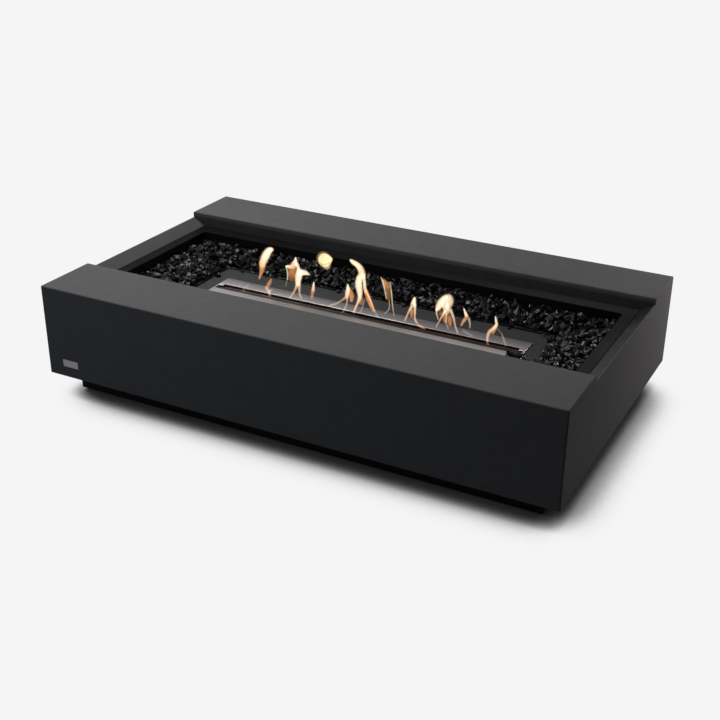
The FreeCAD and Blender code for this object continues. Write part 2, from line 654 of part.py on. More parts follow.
def cover_plate():
    """Flat dark plate over the burner and the edge of the tray's cut-out."""
    plate = centred(PLATE_LENGTH / 2, PLATE_WIDTH / 2, PLATE_BOTTOM, PLATE_TOP, PLATE_CORNER)
    window = block(-PAN_X - PAN_CLEARANCE, PAN_X + PAN_CLEARANCE, PAN_FRONT - PAN_CLEARANCE,
                   PAN_BACK + PAN_CLEARANCE, PLATE_BOTTOM - OVERRUN, PLATE_TOP + OVERRUN)
    return plate.cut(window)


def burner_rim():
    """Raised frame round the slot, notched at both ends over the shutter's tabs."""
    rim = centred(RIM_LENGTH / 2, RIM_BACK, PLATE_TOP, RIM_TOP)
    low, high = PLATE_TOP - OVERRUN, RIM_TOP + OVERRUN
    well = block(-WELL_X, WELL_X, WELL_FRONT, WELL_BACK, low, high)
    notch_x = WELL_X + SHUTTER_TAB + NOTCH_END_GAP
    notches = block(-notch_x, notch_x, WELL_FRONT, WELL_FRONT + NOTCH_WIDTH, low, high)
    rim = rim.cut(well.fuse(notches))
    top = [e for e in rim.Edges if abs(e.CenterOfMass.z - RIM_TOP) < SAME]
    return rim.makeChamfer(RIM_ROUND, top)


def deck_pan():
    """Shallow pan under the rim. Its floor is the deck that the shutter slides on, and holds the slot."""
    outside = block(-PAN_X, PAN_X, PAN_FRONT, PAN_BACK, DECK_BOTTOM, PLATE_TOP)
    inside = block(-PAN_X + SHEET, PAN_X - SHEET, PAN_FRONT + SHEET, PAN_BACK - SHEET, DECK_TOP, RIM_TOP)
    slot = block(-WELL_X + SLOT_END_GAP, WELL_X - SLOT_END_GAP, SLOT_FRONT, SLOT_BACK,
                 DECK_BOTTOM - OVERRUN, DECK_TOP + OVERRUN)
    return outside.cut([inside, slot])


def shutter():
    """Sliding lid of the slot, with a tab at each end and a hole for the hook that moves it."""
    bottom = DECK_TOP + SHUTTER_RUN
    front = SHUTTER_BACK - SHUTTER_WIDTH
    reach = WELL_X - SHUTTER_END_GAP
    plate = block(-reach, reach, front, SHUTTER_BACK, bottom, SHUTTER_TOP)
    tab_front = WELL_FRONT + (NOTCH_WIDTH - SHUTTER_TAB_WIDTH) / 2
    tab_reach = reach + SHUTTER_TAB
    tabs = rounded_block(-tab_reach, tab_reach, tab_front, tab_front + SHUTTER_TAB_WIDTH, bottom, SHUTTER_TOP,
                         SHUTTER_TAB_ROUND)
    hook_x, hook_y = reach - HOOK_FROM_END, SHUTTER_BACK - SHUTTER_WIDTH / 2
    low, high = bottom - OVERRUN, SHUTTER_TOP + OVERRUN
    hooks = [rod(side * hook_x, hook_y, low, high, HOOK_RADIUS) for side in SIDES]
    return plate.fuse(tabs).removeSplitter().cut(hooks)


def open_box(half_x, half_y, z0, z1, radius):
    """A drawn sheet box, open at the top."""
    outside = centred(half_x, half_y, z0, z1, radius)
    low = [e for e in outside.Edges if abs(e.CenterOfMass.z - z0) < SAME]
    outside = outside.makeFillet(2 * SHEET, low)
    return outside.cut(centred(half_x - SHEET, half_y - SHEET, z0 + SHEET, z1 + OVERRUN, radius - SHEET))


def burner_jacket():
    return open_box(JACKET_LENGTH / 2, JACKET_WIDTH / 2, JACKET_FLOOR, PLATE_BOTTOM, JACKET_CORNER)


def burner_tank():
    low = JACKET_FLOOR + SHEET + TANK_RISE
    return open_box(TANK_LENGTH / 2, TANK_WIDTH / 2, low, DECK_BOTTOM - SHEET, TANK_CORNER)


def tank_spacers():
    """Blocks that hold the tank up off the jacket's floor."""
    low = JACKET_FLOOR + SHEET
    half_x, half_y = SPACER_LENGTH / 2, TANK_WIDTH / 2 - SPACER_SIDE_INSET
    return [rounded_block(x - half_x, x + half_x, -half_y, half_y, low, low + TANK_RISE, SPACER_ROUND)
            for x in spread(SPACERS, TANK_LENGTH / 2 - SPACER_FROM_END)]


def burner_baffle():
    """Lid of the tank with a row of slots under the burner slot."""
    lid = centred(TANK_LENGTH / 2, TANK_WIDTH / 2, DECK_BOTTOM - SHEET, DECK_BOTTOM, TANK_CORNER)
    pitch = 2 * (WELL_X - SLOT_END_GAP) / BAFFLE_SLOTS
    middle = (SLOT_FRONT + SLOT_BACK) / 2
    low, high = DECK_BOTTOM - SHEET - OVERRUN, DECK_BOTTOM + OVERRUN
    slots = [obround(x, middle, low, high, pitch - BAFFLE_WEB, BAFFLE_SLOT_WIDTH)
             for x in spread(BAFFLE_SLOTS, pitch)]
    return lid.cut(slots)


def absorbent_pads():
    """Blocks of ceramic wool that hold the fuel."""
    low = JACKET_FLOOR + 2 * SHEET + TANK_RISE
    room = TANK_LENGTH - 2 * SHEET - 2 * WOOL_GAP
    pitch = room / WOOL_BLOCKS
    half_x, half_y = (pitch - WOOL_GAP) / 2, TANK_WIDTH / 2 - SHEET - WOOL_GAP
    return [rounded_block(x - half_x, x + half_x, -half_y, half_y, low, low + WOOL_HEIGHT, TANK_CORNER)
            for x in spread(WOOL_BLOCKS, pitch)]


def seat_pads():
    """Pads between the cover plate and the tray floor, at the two ends."""
    middle = (PLATE_LENGTH / 2 + JACKET_LENGTH / 2 + JACKET_CLEARANCE) / 2
    across = PLATE_WIDTH / 2 - SEAT_PAD_LENGTH / 2
    return [pad(sx * middle, sy * across, SEAT_PAD_WIDTH, SEAT_PAD_LENGTH, FLOOR, SEAT_PAD_HEIGHT)
            for sx in SIDES for sy in SIDES]


def main():
    os.makedirs("parts", exist_ok=True)
    save("cast_body", cast_body())
    save("cast_inserts", *cast_inserts())
    for name, rail in plinth_rails().items():
        save(name, rail)
    save("plinth_braces", *plinth_braces())
    save("plinth_corner_gussets", *corner_gussets())
    save("plinth_screws", *plinth_screws())
    save("foot_sockets", *foot_sockets())
    save("foot_lock_nuts", *foot_lock_nuts())
    for number, (x, y) in enumerate(foot_places(), 1):
        save("foot_pad_%d" % number, foot_pad(x, y))
        save("foot_stud_%d" % number, foot_stud(x, y))
    save("glass_tray", glass_tray())
    save("tray_stiffeners", *tray_stiffeners())
    save("drain_bushes", *drain_bushes())
    save("flange_pads", *flange_pads())
    save("glass_bed", glass_bed())
    for name, chips in glass_chips().items():
        save(name, *chips)
    save("burner_cover_plate", cover_plate())
    save("burner_rim", burner_rim())
    save("burner_deck_pan", deck_pan())
    save("burner_shutter", shutter())
    save("burner_jacket", burner_jacket())
    save("burner_tank", burner_tank())
    save("tank_spacers", *tank_spacers())
    save("burner_baffle", burner_baffle())
    save("absorbent_pads", *absorbent_pads())
    save("burner_seat_pads", *seat_pads())


main()
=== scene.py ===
import math
import random

import bmesh
import bpy
import numpy as np
from mathutils import Matrix, Quaternion, Vector


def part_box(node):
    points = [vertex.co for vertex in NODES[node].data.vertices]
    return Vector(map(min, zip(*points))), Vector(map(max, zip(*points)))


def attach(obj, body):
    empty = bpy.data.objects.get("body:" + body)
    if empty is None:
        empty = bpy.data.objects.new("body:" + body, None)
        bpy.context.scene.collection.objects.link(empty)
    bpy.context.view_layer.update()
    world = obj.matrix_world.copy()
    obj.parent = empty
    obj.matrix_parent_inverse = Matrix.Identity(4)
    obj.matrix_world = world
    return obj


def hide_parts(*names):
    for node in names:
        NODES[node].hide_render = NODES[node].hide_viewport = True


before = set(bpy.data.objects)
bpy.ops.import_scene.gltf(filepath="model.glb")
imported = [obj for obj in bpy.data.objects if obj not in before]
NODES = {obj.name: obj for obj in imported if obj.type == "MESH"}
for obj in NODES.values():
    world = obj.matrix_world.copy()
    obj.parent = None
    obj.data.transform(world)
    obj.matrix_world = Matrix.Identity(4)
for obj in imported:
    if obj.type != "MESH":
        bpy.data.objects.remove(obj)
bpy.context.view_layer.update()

# Camera, fitted to the corners and then the edges of the body in the photograph
CAMERA_AZIMUTH = math.radians(27.749)
CAMERA_ELEVATION = math.radians(25.891)
CAMERA_ROLL = math.radians(0.353)
CAMERA_DISTANCE = 2.7904
CAMERA_TARGET = (-0.00938, 0.01285, 0.06366)
FOCAL_PIXELS = 1159.09
IMAGE_PIXELS = 720
SENSOR = 36.0
CLIP_START, CLIP_END = 0.05, 100.0

# Floor
FLOOR_HALF = 40.0
BACKDROP = 0.913           # linear value of the pale backdrop
FLOOR_BOUNCE = 0.06        # how much light the floor throws back at the table
SHADOW_REACH = 0.16        # how near the floor must be to the table to darken
SHADOW_SAMPLES = 24
SHADOW_LEAN = (-0.40, 0.20, 0.895)     # so that the floor's shadow falls to the right
# Openness of the floor beside the table, and the share of its full brightness there
SHADOW_STOPS = [(0.10, 0.004), (0.30, 0.028), (0.46, 0.37), (0.50, 0.62), (0.565, 0.88),
                (0.68, 0.985), (0.80, 1.0)]
# Half length and half depth of the floor inside the plinth, where no light comes
UNDER_TABLE = (0.56, 0.306)

# World: weak even light for matt surfaces, and for reflections the height of the sky and its brightness there
AMBIENT = 0.05
SKY_STOPS = [(0.0, BACKDROP), (0.34, BACKDROP), (0.62, 0.30), (0.85, 0.05)]

# Softboxes: place, aim, watts, width, depth and colour
SOFTBOXES = {
    "overhead_softbox": ((-0.6, -0.6, 2.3), (-0.1, 0.0, 0.2), 20.3, 1.0, 1.0, (1.0, 1.0, 1.0)),
    "left_softbox": ((-1.0, 0.3, 1.5), (-0.5, 0.0, 0.27), 16.3, 0.8, 0.8, (1.0, 1.0, 0.96)),
    "back_softbox": ((0.0, 3.0, 1.0), (0.0, 0.0, 0.2), 9.0, 2.0, 0.7, (0.92, 0.96, 1.0)),
    "right_softbox": ((0.95, 0.85, 0.42), (0.63, 0.25, 0.18), 5.9, 0.3, 0.3, (1.0, 0.92, 0.89)),
    "front_left_softbox": ((-1.75, -1.75, 0.85), (-0.5, -0.378, 0.15), 5.2, 0.7, 0.7, (0.62, 0.76, 1.0)),
}

# Painted shade on the sides of the fire's opening, standing for their shade and the rear bar's shadow at the
# right rear. A pair of places gives where its share is 0 and where it is 1.
PAINTED_SHADE_TONE = (0.165, 0.163, 0.162)     # what full painted shade leaves of the stone's colour
PAINTED_SHADE_HALF_LENGTH = (0.6295, 0.6255)
PAINTED_SHADE_HALF_DEPTH = (0.235, 0.230)
PAINTED_SHADE_HEIGHT = (0.268, 0.2613)
PAINTED_SHADE_LEFT_TO_RIGHT = (0.0, 0.125)
PAINTED_SHADE_FRONT_TO_REAR = (-0.20, 0.20)
REAR_BAR_FACE = (0.2226, 0.2230)
PAINTED_SHADE_ALL_ROUND = 0.293    # share of painted shade at the left end
PAINTED_SHADE_RIGHT = 0.189        # what is added at the right end
PAINTED_SHADE_RIGHT_REAR = 0.569   # what is added there towards the rear
PAINTED_SHADE_REAR_BAR = 0.67      # share on the inner face of the rear bar

# Painted light on the rear of the tray's flange, which lies in the rear bar's shade: a paler tone, between
# where it starts and where it is full
FLANGE_PAINTED_LIGHT_TONE = (0.029, 0.029, 0.029)
FLANGE_PAINTED_LIGHT_DEPTH = 0.0006         # how far below the flange's top it reaches
FLANGE_PAINTED_LIGHT_FRONT_TO_REAR = (0.10, 0.191)
FLANGE_PAINTED_LIGHT_LEFT_TO_RIGHT = (-0.42, 0.45)

# Burner rim: painted highlight and shade, as the brightness of the steel from its front edge to its rear edge
RIM_FRONT_TO_REAR = (-0.055, 0.056)
RIM_STOPS = [(0.0, 0.62), (0.40, 0.50), (0.55, 0.88), (0.64, 0.88), (0.95, 0.55)]
# Rear lip of its slot: middle and half width, and where its painted shade starts and ends
LIP_MIDDLE, LIP_HALF = 0.0143, 0.0008
LIP_LEFT_TO_RIGHT = (0.08, 0.205)
LIP_PAINTED_SHADE_SHARE = 0.70
LIP_PAINTED_SHADE_TONE = (0.03, 0.025, 0.024)


# Shader nodes

def set_stops(colour_ramp, stops):
    elements = colour_ramp.elements
    while len(elements) < len(stops):
        elements.new(0.5)
    for element, (position, colour) in zip(elements, stops):
        element.position = position
        tone = colour if isinstance(colour, tuple) else (colour,) * 3
        element.color = (*tone, 1.0)


class Nodes:
    """Adds nodes to one shader tree. A value is a number, a colour, a vector or another node's output."""

    def __init__(self, tree):
        self.tree = tree

    def feed(self, socket, value):
        if hasattr(value, "is_linked"):
            self.tree.links.new(value, socket)
        elif socket.type == "RGBA":
            socket.default_value = (*value, 1.0)
        else:
            socket.default_value = value

    def add(self, kind, values=None, **settings):
        node = self.tree.nodes.new(kind)
        for key, value in settings.items():
            setattr(node, key, value)
        for key, value in (values or {}).items():
            self.feed(node.inputs[key], value)
        return node

    def math(self, operation, *values, clamp=False):
        node = self.add("ShaderNodeMath", dict(enumerate(values)), operation=operation, use_clamp=clamp)
        return node.outputs[0]

    def between(self, value, start, end):
        """0 where value is at start, 1 where it is at end, and held there beyond both."""
        return self.math("MULTIPLY", self.math("SUBTRACT", value, start), 1.0 / (end - start), clamp=True)

    def ramp(self, value, *stops):
        node = self.add("ShaderNodeValToRGB", {"Fac": value})
        set_stops(node.color_ramp, stops)
        return node.outputs["Color"]

    def axes(self, place):
        split = self.add("ShaderNodeSeparateXYZ", {"Vector": place})
        return [split.outputs[axis] for axis in "XYZ"]


class Look(Nodes):
    """A material with a Principled shader and procedural textures in metres."""

    def __init__(self, name, base, roughness, metallic=0.0, specular=0.5, anisotropic=0.0):
        self.material = bpy.data.materials.new(name)
        self.material.use_nodes = True
        super().__init__(self.material.node_tree)
        self.shader = self.tree.nodes["Principled BSDF"]
        self.set("Base Color", base)
        self.set("Roughness", roughness)
        self.set("Metallic", metallic)
        self.set("Specular IOR Level", specular)
        self.set("Anisotropic", anisotropic)
        self.place = self.add("ShaderNodeTexCoord").outputs["Object"]
        self.normal = None

    def set(self, socket, value):
        self.feed(self.shader.inputs[socket], value)

    def noise(self, scale, detail=3.0, rough=0.5, stretch=None):
        place = self.place
        if stretch is not None:
            place = self.add("ShaderNodeMapping", {"Vector": place, "Scale": stretch}).outputs[0]
        values = {"Vector": place, "Scale": scale, "Detail": detail, "Roughness": rough}
        return self.add("ShaderNodeTexNoise", values).outputs["Fac"]

    def cells(self, scale):
        return self.add("ShaderNodeTexVoronoi", {"Vector": self.place, "Scale": scale}).outputs["Distance"]

    def mix(self, share, first, second, blend="MIX"):
        values = {"Factor": share, 6: first, 7: second}    # 6 and 7 are the colour inputs A and B
        return self.add("ShaderNodeMix", values, data_type="RGBA", blend_type=blend).outputs[2]

    def bump(self, height, strength, distance):
        values = {"Height": height, "Strength": strength, "Distance": distance}
        if self.normal is not None:
            values["Normal"] = self.normal
        self.normal = self.add("ShaderNodeBump", values).outputs[0]
        self.set("Normal", self.normal)


# Materials

def painted_shade_share(look):
    """Share of painted shade on the sides of the fire's opening, standing for their shade and the rear bar's
    shadow: most at the right rear.
    """
    x, y, z = look.axes(look.place)
    inside_ends = look.between(look.math("ABSOLUTE", x), *PAINTED_SHADE_HALF_LENGTH)
    inside_bars = look.between(look.math("ABSOLUTE", y), *PAINTED_SHADE_HALF_DEPTH)
    below_tops = look.between(z, *PAINTED_SHADE_HEIGHT)
    inner = look.math("MULTIPLY", look.math("MULTIPLY", inside_ends, inside_bars), below_tops)
    right, rear = look.between(x, *PAINTED_SHADE_LEFT_TO_RIGHT), look.between(y, *PAINTED_SHADE_FRONT_TO_REAR)
    rear_bar = look.between(y, *REAR_BAR_FACE)
    shade_amount = look.math("MULTIPLY", right, look.math("MULTIPLY_ADD", rear, PAINTED_SHADE_RIGHT_REAR, PAINTED_SHADE_RIGHT))
    shade_amount = look.math("ADD", shade_amount, PAINTED_SHADE_ALL_ROUND)
    shade_amount = look.math("MULTIPLY_ADD", rear_bar, look.math("SUBTRACT", PAINTED_SHADE_REAR_BAR, shade_amount), shade_amount)
    cloudy = look.ramp(look.noise(14.0, 4.0, 0.6), (0.3, 0.84), (0.65, 1.04))
    return look.math("MULTIPLY", look.math("MULTIPLY", inner, shade_amount), cloudy, clamp=True)


def cast_stone_look():
    look = Look("cast_stone", (0.09, 0.09, 0.092), 0.8, specular=0.04)
    clouds = look.ramp(look.noise(3.4, 5.0, 0.55),
                       (0.32, (0.087, 0.087, 0.089)), (0.70, (0.093, 0.093, 0.095)))
    mottle = look.ramp(look.noise(46.0, 6.0, 0.62), (0.36, 0.95), (0.66, 1.04))
    grain = look.ramp(look.noise(1400.0, 2.0, 0.6), (0.30, 0.88), (0.72, 1.12))
    colour = look.mix(1.0, look.mix(1.0, clouds, mottle, "MULTIPLY"), grain, "MULTIPLY")
    sparse = look.ramp(look.noise(24.0, 2.0), (0.56, 0.0), (0.64, 1.0))
    pits = look.ramp(look.cells(260.0), (0.05, 1.0), (0.12, 0.0))
    pores = look.math("MULTIPLY", sparse, pits)
    pitted = look.mix(pores, colour, (0.045, 0.045, 0.046))
    # Painted shade: the stone is darkened on the sides of the fire's opening, most at the right rear
    painted_shade_stone = look.mix(1.0, pitted, PAINTED_SHADE_TONE, "MULTIPLY")
    look.set("Base Color", look.mix(painted_shade_share(look), pitted, painted_shade_stone))
    look.set("Roughness", look.ramp(look.noise(130.0, 4.0), (0.3, 0.74), (0.7, 0.86)))
    look.bump(look.noise(520.0, 5.0, 0.65), 0.14, 0.0005)
    look.bump(look.math("SUBTRACT", 1.0, pores), 0.4, 0.0005)
    return look.material


def painted_light_share(look):
    """Share of painted light on the rear of the tray's flange, in the rear bar's shade: more to the right."""
    x, y, z = look.axes(look.place)
    on_top = look.math("GREATER_THAN", z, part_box("glass_tray")[1][2] - FLANGE_PAINTED_LIGHT_DEPTH)
    rear = look.between(y, *FLANGE_PAINTED_LIGHT_FRONT_TO_REAR)
    along = look.between(x, *FLANGE_PAINTED_LIGHT_LEFT_TO_RIGHT)
    return look.math("MULTIPLY", look.math("MULTIPLY", on_top, rear), look.math("MULTIPLY", along, along))


def powder_coat_look(name, tone, roughness, specular, dust, flange_painted_light=False):
    """Fine-textured matt coating with a little dust and rubbed patches, and painted light on the rear of the
    tray's flange if asked.
    """
    look = Look(name, (tone, tone, tone), roughness, specular=specular)
    dusty = look.ramp(look.noise(34.0, 6.0, 0.65), (0.48, 0.0), (0.82, 1.0))
    base = (tone, tone, tone * 1.03)
    pale = (tone + dust, tone + dust, tone + dust * 0.97)
    speck = look.ramp(look.noise(2600.0, 2.0), (0.35, 0.88), (0.65, 1.12))
    coat = look.mix(dusty, base, pale)
    if flange_painted_light:
        # Painted light: a paler tone on the rear of the flange, where the rear bar shades it
        coat = look.mix(painted_light_share(look), coat, FLANGE_PAINTED_LIGHT_TONE)
    look.set("Base Color", look.mix(1.0, coat, speck, "MULTIPLY"))
    rubbed = look.noise(9.0, 4.0, 0.6)
    look.set("Roughness", look.ramp(rubbed, (0.3, roughness - 0.07), (0.7, roughness + 0.07)))
    look.bump(look.noise(1500.0, 3.0, 0.6), 0.22, 0.0003)
    return look.material


def heat_tinted(look, shade, tint):
    """Brown and blue stains that heat leaves on steel."""
    stained = look.ramp(look.noise(1.0, 5.0, 0.6, stretch=(11.0, 30.0, 30.0)), (0.38, 0.0), (0.72, tint))
    shade = look.mix(stained, shade, (0.40, 0.25, 0.17))
    blued = look.ramp(look.noise(1.0, 4.0, 0.6, stretch=(17.0, 45.0, 45.0)), (0.52, 0.0), (0.80, tint))
    return look.mix(blued, shade, (0.27, 0.25, 0.36))


def painted_rim_light_and_shade(look, shade):
    """Painted highlight on the steel just behind the slot and painted shade towards its edges, with painted
    shade on the lip along the slot's right half.
    """
    along, across, _ = look.axes(look.place)
    # Painted highlight just behind the slot and painted shade towards the rim's front and rear edges
    steel_brightness = look.ramp(look.between(across, *RIM_FRONT_TO_REAR), *RIM_STOPS)
    shade = look.mix(1.0, shade, steel_brightness, "MULTIPLY")
    # Painted shade on the slot's rear lip, which hides its highlight on the right half
    lip = look.math("COMPARE", across, LIP_MIDDLE, LIP_HALF)
    lip_shade = look.math("MULTIPLY", lip, look.between(along, *LIP_LEFT_TO_RIGHT))
    return look.mix(look.math("MULTIPLY", lip_shade, LIP_PAINTED_SHADE_SHARE), shade, LIP_PAINTED_SHADE_TONE)


def brushed_look(name, colour, roughness, tint=0.0, soot=0.0, rim_painted_marks=False):
    """Stainless steel brushed along its length: heat-tinted, with painted highlight and shade on the burner
    rim, and sooty if asked.
    """
    look = Look(name, colour, roughness, metallic=1.0, anisotropic=0.45)
    strokes = look.noise(1.0, 6.0, 0.7, stretch=(9.0, 1500.0, 1500.0))
    wide = look.noise(1.0, 4.0, 0.6, stretch=(3.0, 260.0, 260.0))
    tone = look.ramp(strokes, (0.30, 0.86), (0.70, 1.08))
    shade = look.mix(1.0, colour, tone, "MULTIPLY")
    if tint:
        shade = heat_tinted(look, shade, tint)
    if rim_painted_marks:
        shade = painted_rim_light_and_shade(look, shade)
    if soot:
        smoke = look.ramp(look.noise(1.0, 6.0, 0.65, stretch=(14.0, 40.0, 40.0)), (0.30, soot), (0.75, 0.25))
        shade = look.mix(smoke, shade, (0.015, 0.012, 0.011))
    look.set("Base Color", shade)
    look.set("Roughness", look.ramp(wide, (0.3, roughness - 0.06), (0.7, roughness + 0.10)))
    look.bump(strokes, 0.12, 0.0002)
    return look.material


def black_glass_look(name, roughness):
    """Broken black glass: mirror-like faces with shell-shaped ripples, each lump a little different."""
    look = Look(name, (0.006, 0.006, 0.007), roughness, specular=0.24)
    lump = look.add("ShaderNodeNewGeometry").outputs["Random Per Island"]
    look.set("Base Color", look.ramp(lump, (0.0, (0.002, 0.002, 0.0025)), (0.75, (0.006, 0.006, 0.007)),
                                     (1.0, (0.022, 0.022, 0.024))))
    look.set("Roughness", look.ramp(lump, (0.0, roughness), (0.8, roughness + 0.06), (1.0, roughness + 0.26)))
    ripples = {"Vector": look.place, "Scale": 95.0, "Distortion": 14.0, "Detail": 2.0}
    shell = look.add("ShaderNodeTexWave", ripples, wave_type="RINGS").outputs["Fac"]
    look.bump(shell, 0.20, 0.0008)
    look.bump(look.noise(420.0, 3.0), 0.25, 0.0008)
    return look.material


def turned_metal_look(name, colour, roughness):
    """Small turned or plated metal piece with fine tool marks and dull patches."""
    look = Look(name, colour, roughness, metallic=1.0)
    marks = look.noise(1.0, 3.0, 0.6, stretch=(60.0, 60.0, 2600.0))
    dull = look.ramp(look.noise(160.0, 4.0), (0.35, 0.80), (0.70, 1.05))
    look.set("Base Color", look.mix(1.0, colour, dull, "MULTIPLY"))
    look.set("Roughness", look.ramp(look.noise(90.0, 3.0), (0.3, roughness - 0.05), (0.7, roughness + 0.15)))
    look.bump(marks, 0.15, 0.0002)
    return look.material


def soft_look(name, colour, roughness, scale, depth):
    """Rubber, silicone or fibre: a mottled colour and a fine uneven surface."""
    look = Look(name, colour, roughness, specular=0.3)
    tone = look.ramp(look.noise(scale, 5.0, 0.65), (0.32, 0.80), (0.70, 1.12))
    look.set("Base Color", look.mix(1.0, colour, tone, "MULTIPLY"))
    look.bump(look.noise(scale * 6.0, 4.0, 0.7), 0.4, depth)
    return look.material


LOOKS = {
    "cast_body": cast_stone_look(),
    "plinth": powder_coat_look("plinth_paint", 0.008, 0.60, 0.03, 0.004),
    "tray": powder_coat_look("tray_paint", 0.005, 0.55, 0.025, 0.002, flange_painted_light=True),
    "plate": powder_coat_look("plate_paint", 0.044, 0.55, 0.06, 0.008),
    "steel": brushed_look("stainless_rim", (0.56, 0.53, 0.54), 0.35, tint=0.12, rim_painted_marks=True),
    # Painted shade: the shutter's steel is near black, for the dark of the slot it sits in
    "shutter": brushed_look("shutter_steel_painted_shade", (0.034, 0.026, 0.026), 0.50, tint=0.1),
    "inside": brushed_look("stainless_inside", (0.22, 0.18, 0.17), 0.50, tint=0.4, soot=0.9),
    "jacket": brushed_look("stainless_jacket", (0.58, 0.57, 0.56), 0.38),
    "chips": black_glass_look("black_glass_chips", 0.16),
    "bed": black_glass_look("black_glass_bed", 0.25),
    "zinc": turned_metal_look("zinc_plate", (0.62, 0.63, 0.65), 0.35),
    "brass": turned_metal_look("turned_brass", (0.70, 0.52, 0.24), 0.30),
    "rubber": soft_look("foot_rubber", (0.022, 0.022, 0.023), 0.75, 220.0, 0.0003),
    "silicone": soft_look("silicone_pad", (0.20, 0.055, 0.035), 0.60, 180.0, 0.0002),
    "wool": soft_look("ceramic_wool", (0.72, 0.70, 0.66), 0.95, 90.0, 0.0012),
    "badge": brushed_look("bare_plate", (0.19, 0.19, 0.195), 0.45),
}
LOOK_NODES = {
    "cast_body": ["cast_body"],
    "plinth": ["plinth_front_rail", "plinth_right_rail", "plinth_rear_rail", "plinth_left_rail",
               "plinth_braces", "plinth_corner_gussets", "foot_sockets"],
    "tray": ["glass_tray", "tray_stiffeners"],
    "plate": ["burner_cover_plate"],
    "steel": ["burner_rim"],
    "shutter": ["burner_shutter"],
    "inside": ["burner_deck_pan", "burner_tank", "burner_baffle"],
    "jacket": ["burner_jacket", "tank_spacers"],
    "bed": ["glass_bed"],
    "zinc": ["cast_inserts", "plinth_screws", "foot_lock_nuts", "foot_stud_1", "foot_stud_2", "foot_stud_3",
             "foot_stud_4"],
    "brass": ["drain_bushes"],
    "rubber": ["foot_pad_1", "foot_pad_2", "foot_pad_3", "foot_pad_4"],
    "silicone": ["flange_pads", "burner_seat_pads"],
    "wool": ["absorbent_pads"],
}


def dress_nodes():
    for key, names in LOOK_NODES.items():
        for name in names:
            slots = NODES[name].data.materials
            for index in range(len(slots)):
                slots[index] = LOOKS[key]


# Pieces

def mesh_piece(name, points, faces, look):
    mesh = bpy.data.meshes.new(name)
    mesh.from_pydata([tuple(p) for p in points], [], [tuple(f) for f in faces])
    mesh.update()
    mesh.materials.append(look)
    piece = bpy.data.objects.new(name, mesh)
    bpy.context.scene.collection.objects.link(piece)
    return piece


# Crushed glass

LUMP_KINDS = 24
LUMP_CORNERS = (9, 13)
LUMP_BREADTH = (0.62, 0.95)    # against its length
LUMP_THICKNESS = (0.42, 0.75)
LUMP_WORN = (0.82, 1.0)        # distance of a corner from the middle, against its ball's radius
LUMP_LONG = 0.0104             # half the longest side of a usual lump
LUMP_SIZES = (0.62, 0.78, 0.88, 1.0, 1.0, 1.16)
LUMP_TIPS = (0.35, 0.7, 1.4)   # spread of the angles by which lumps are tipped
LUMP_SINK = 0.30               # height of a lump's centre over the bed, in half lengths
LUMP_UNEVEN = (-0.0008, 0.0016)
LUMP_PITCH = 0.0122
LUMP_ROW = 0.88                # distance of the rows against the pitch
LUMP_STRAY = 0.4               # how far a lump lies off its place, in pitches
LAYER_LOOSER = 0.10            # growth of the pitch from layer to layer
# Layers from the lowest up: share of the places that hold a lump, and how high the layer lies
LAYERS = ((1.0, 0.0005), (0.72, 0.0048), (0.20, 0.0088))
TRAY_MARGIN = 0.0006           # between lumps and the tray wall
PLATE_MARGIN = 0.0008
BED_TO_PLATE = 0.002           # gap of the bed round the cover plate
BED_EDGE = 0.006               # height of the bed beside the plate


def lump_shape(dice):
    """A convex broken lump: corners scattered round a flattened ball, closed by flat faces."""
    builder = bmesh.new()
    stretch = (1.0, dice.uniform(*LUMP_BREADTH), dice.uniform(*LUMP_THICKNESS))
    for _ in range(dice.randint(*LUMP_CORNERS)):
        ball = Vector([dice.gauss(0, 1) for _ in range(3)]).normalized() * dice.uniform(*LUMP_WORN)
        builder.verts.new([a * b for a, b in zip(ball, stretch)])
    bmesh.ops.convex_hull(builder, input=list(builder.verts))
    loose = [v for v in builder.verts if not v.link_faces]
    bmesh.ops.delete(builder, geom=loose, context="VERTS")
    builder.verts.index_update()
    points = np.array([v.co[:] for v in builder.verts])
    faces = np.array([[v.index for v in f.verts] for f in builder.faces])
    builder.free()
    reach = np.abs(points[:, 0]).max()
    return points / reach, faces


def lumps_mesh(name, places, shapes, dice, body):
    """One piece made of many loose lumps. places lists centre, half length and how far the lump may tip."""
    points, faces, count = [], [], 0
    for centre, size, tipping in places:
        shape, triangles = shapes[dice.randrange(len(shapes))]
        turn = Quaternion((0, 0, 1), dice.uniform(0, 2 * math.pi))
        tip = Quaternion((1, 0, 0), dice.gauss(0, tipping)) @ Quaternion((0, 1, 0), dice.gauss(0, tipping))
        matrix = np.array((turn @ tip).to_matrix()) * size
        points.append(shape @ matrix.T + np.array(centre))
        faces.append(triangles + count)
        count += len(shape)
    piece = mesh_piece(name, np.concatenate(points), np.concatenate(faces), LOOKS["chips"])
    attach(piece, body)
    return piece


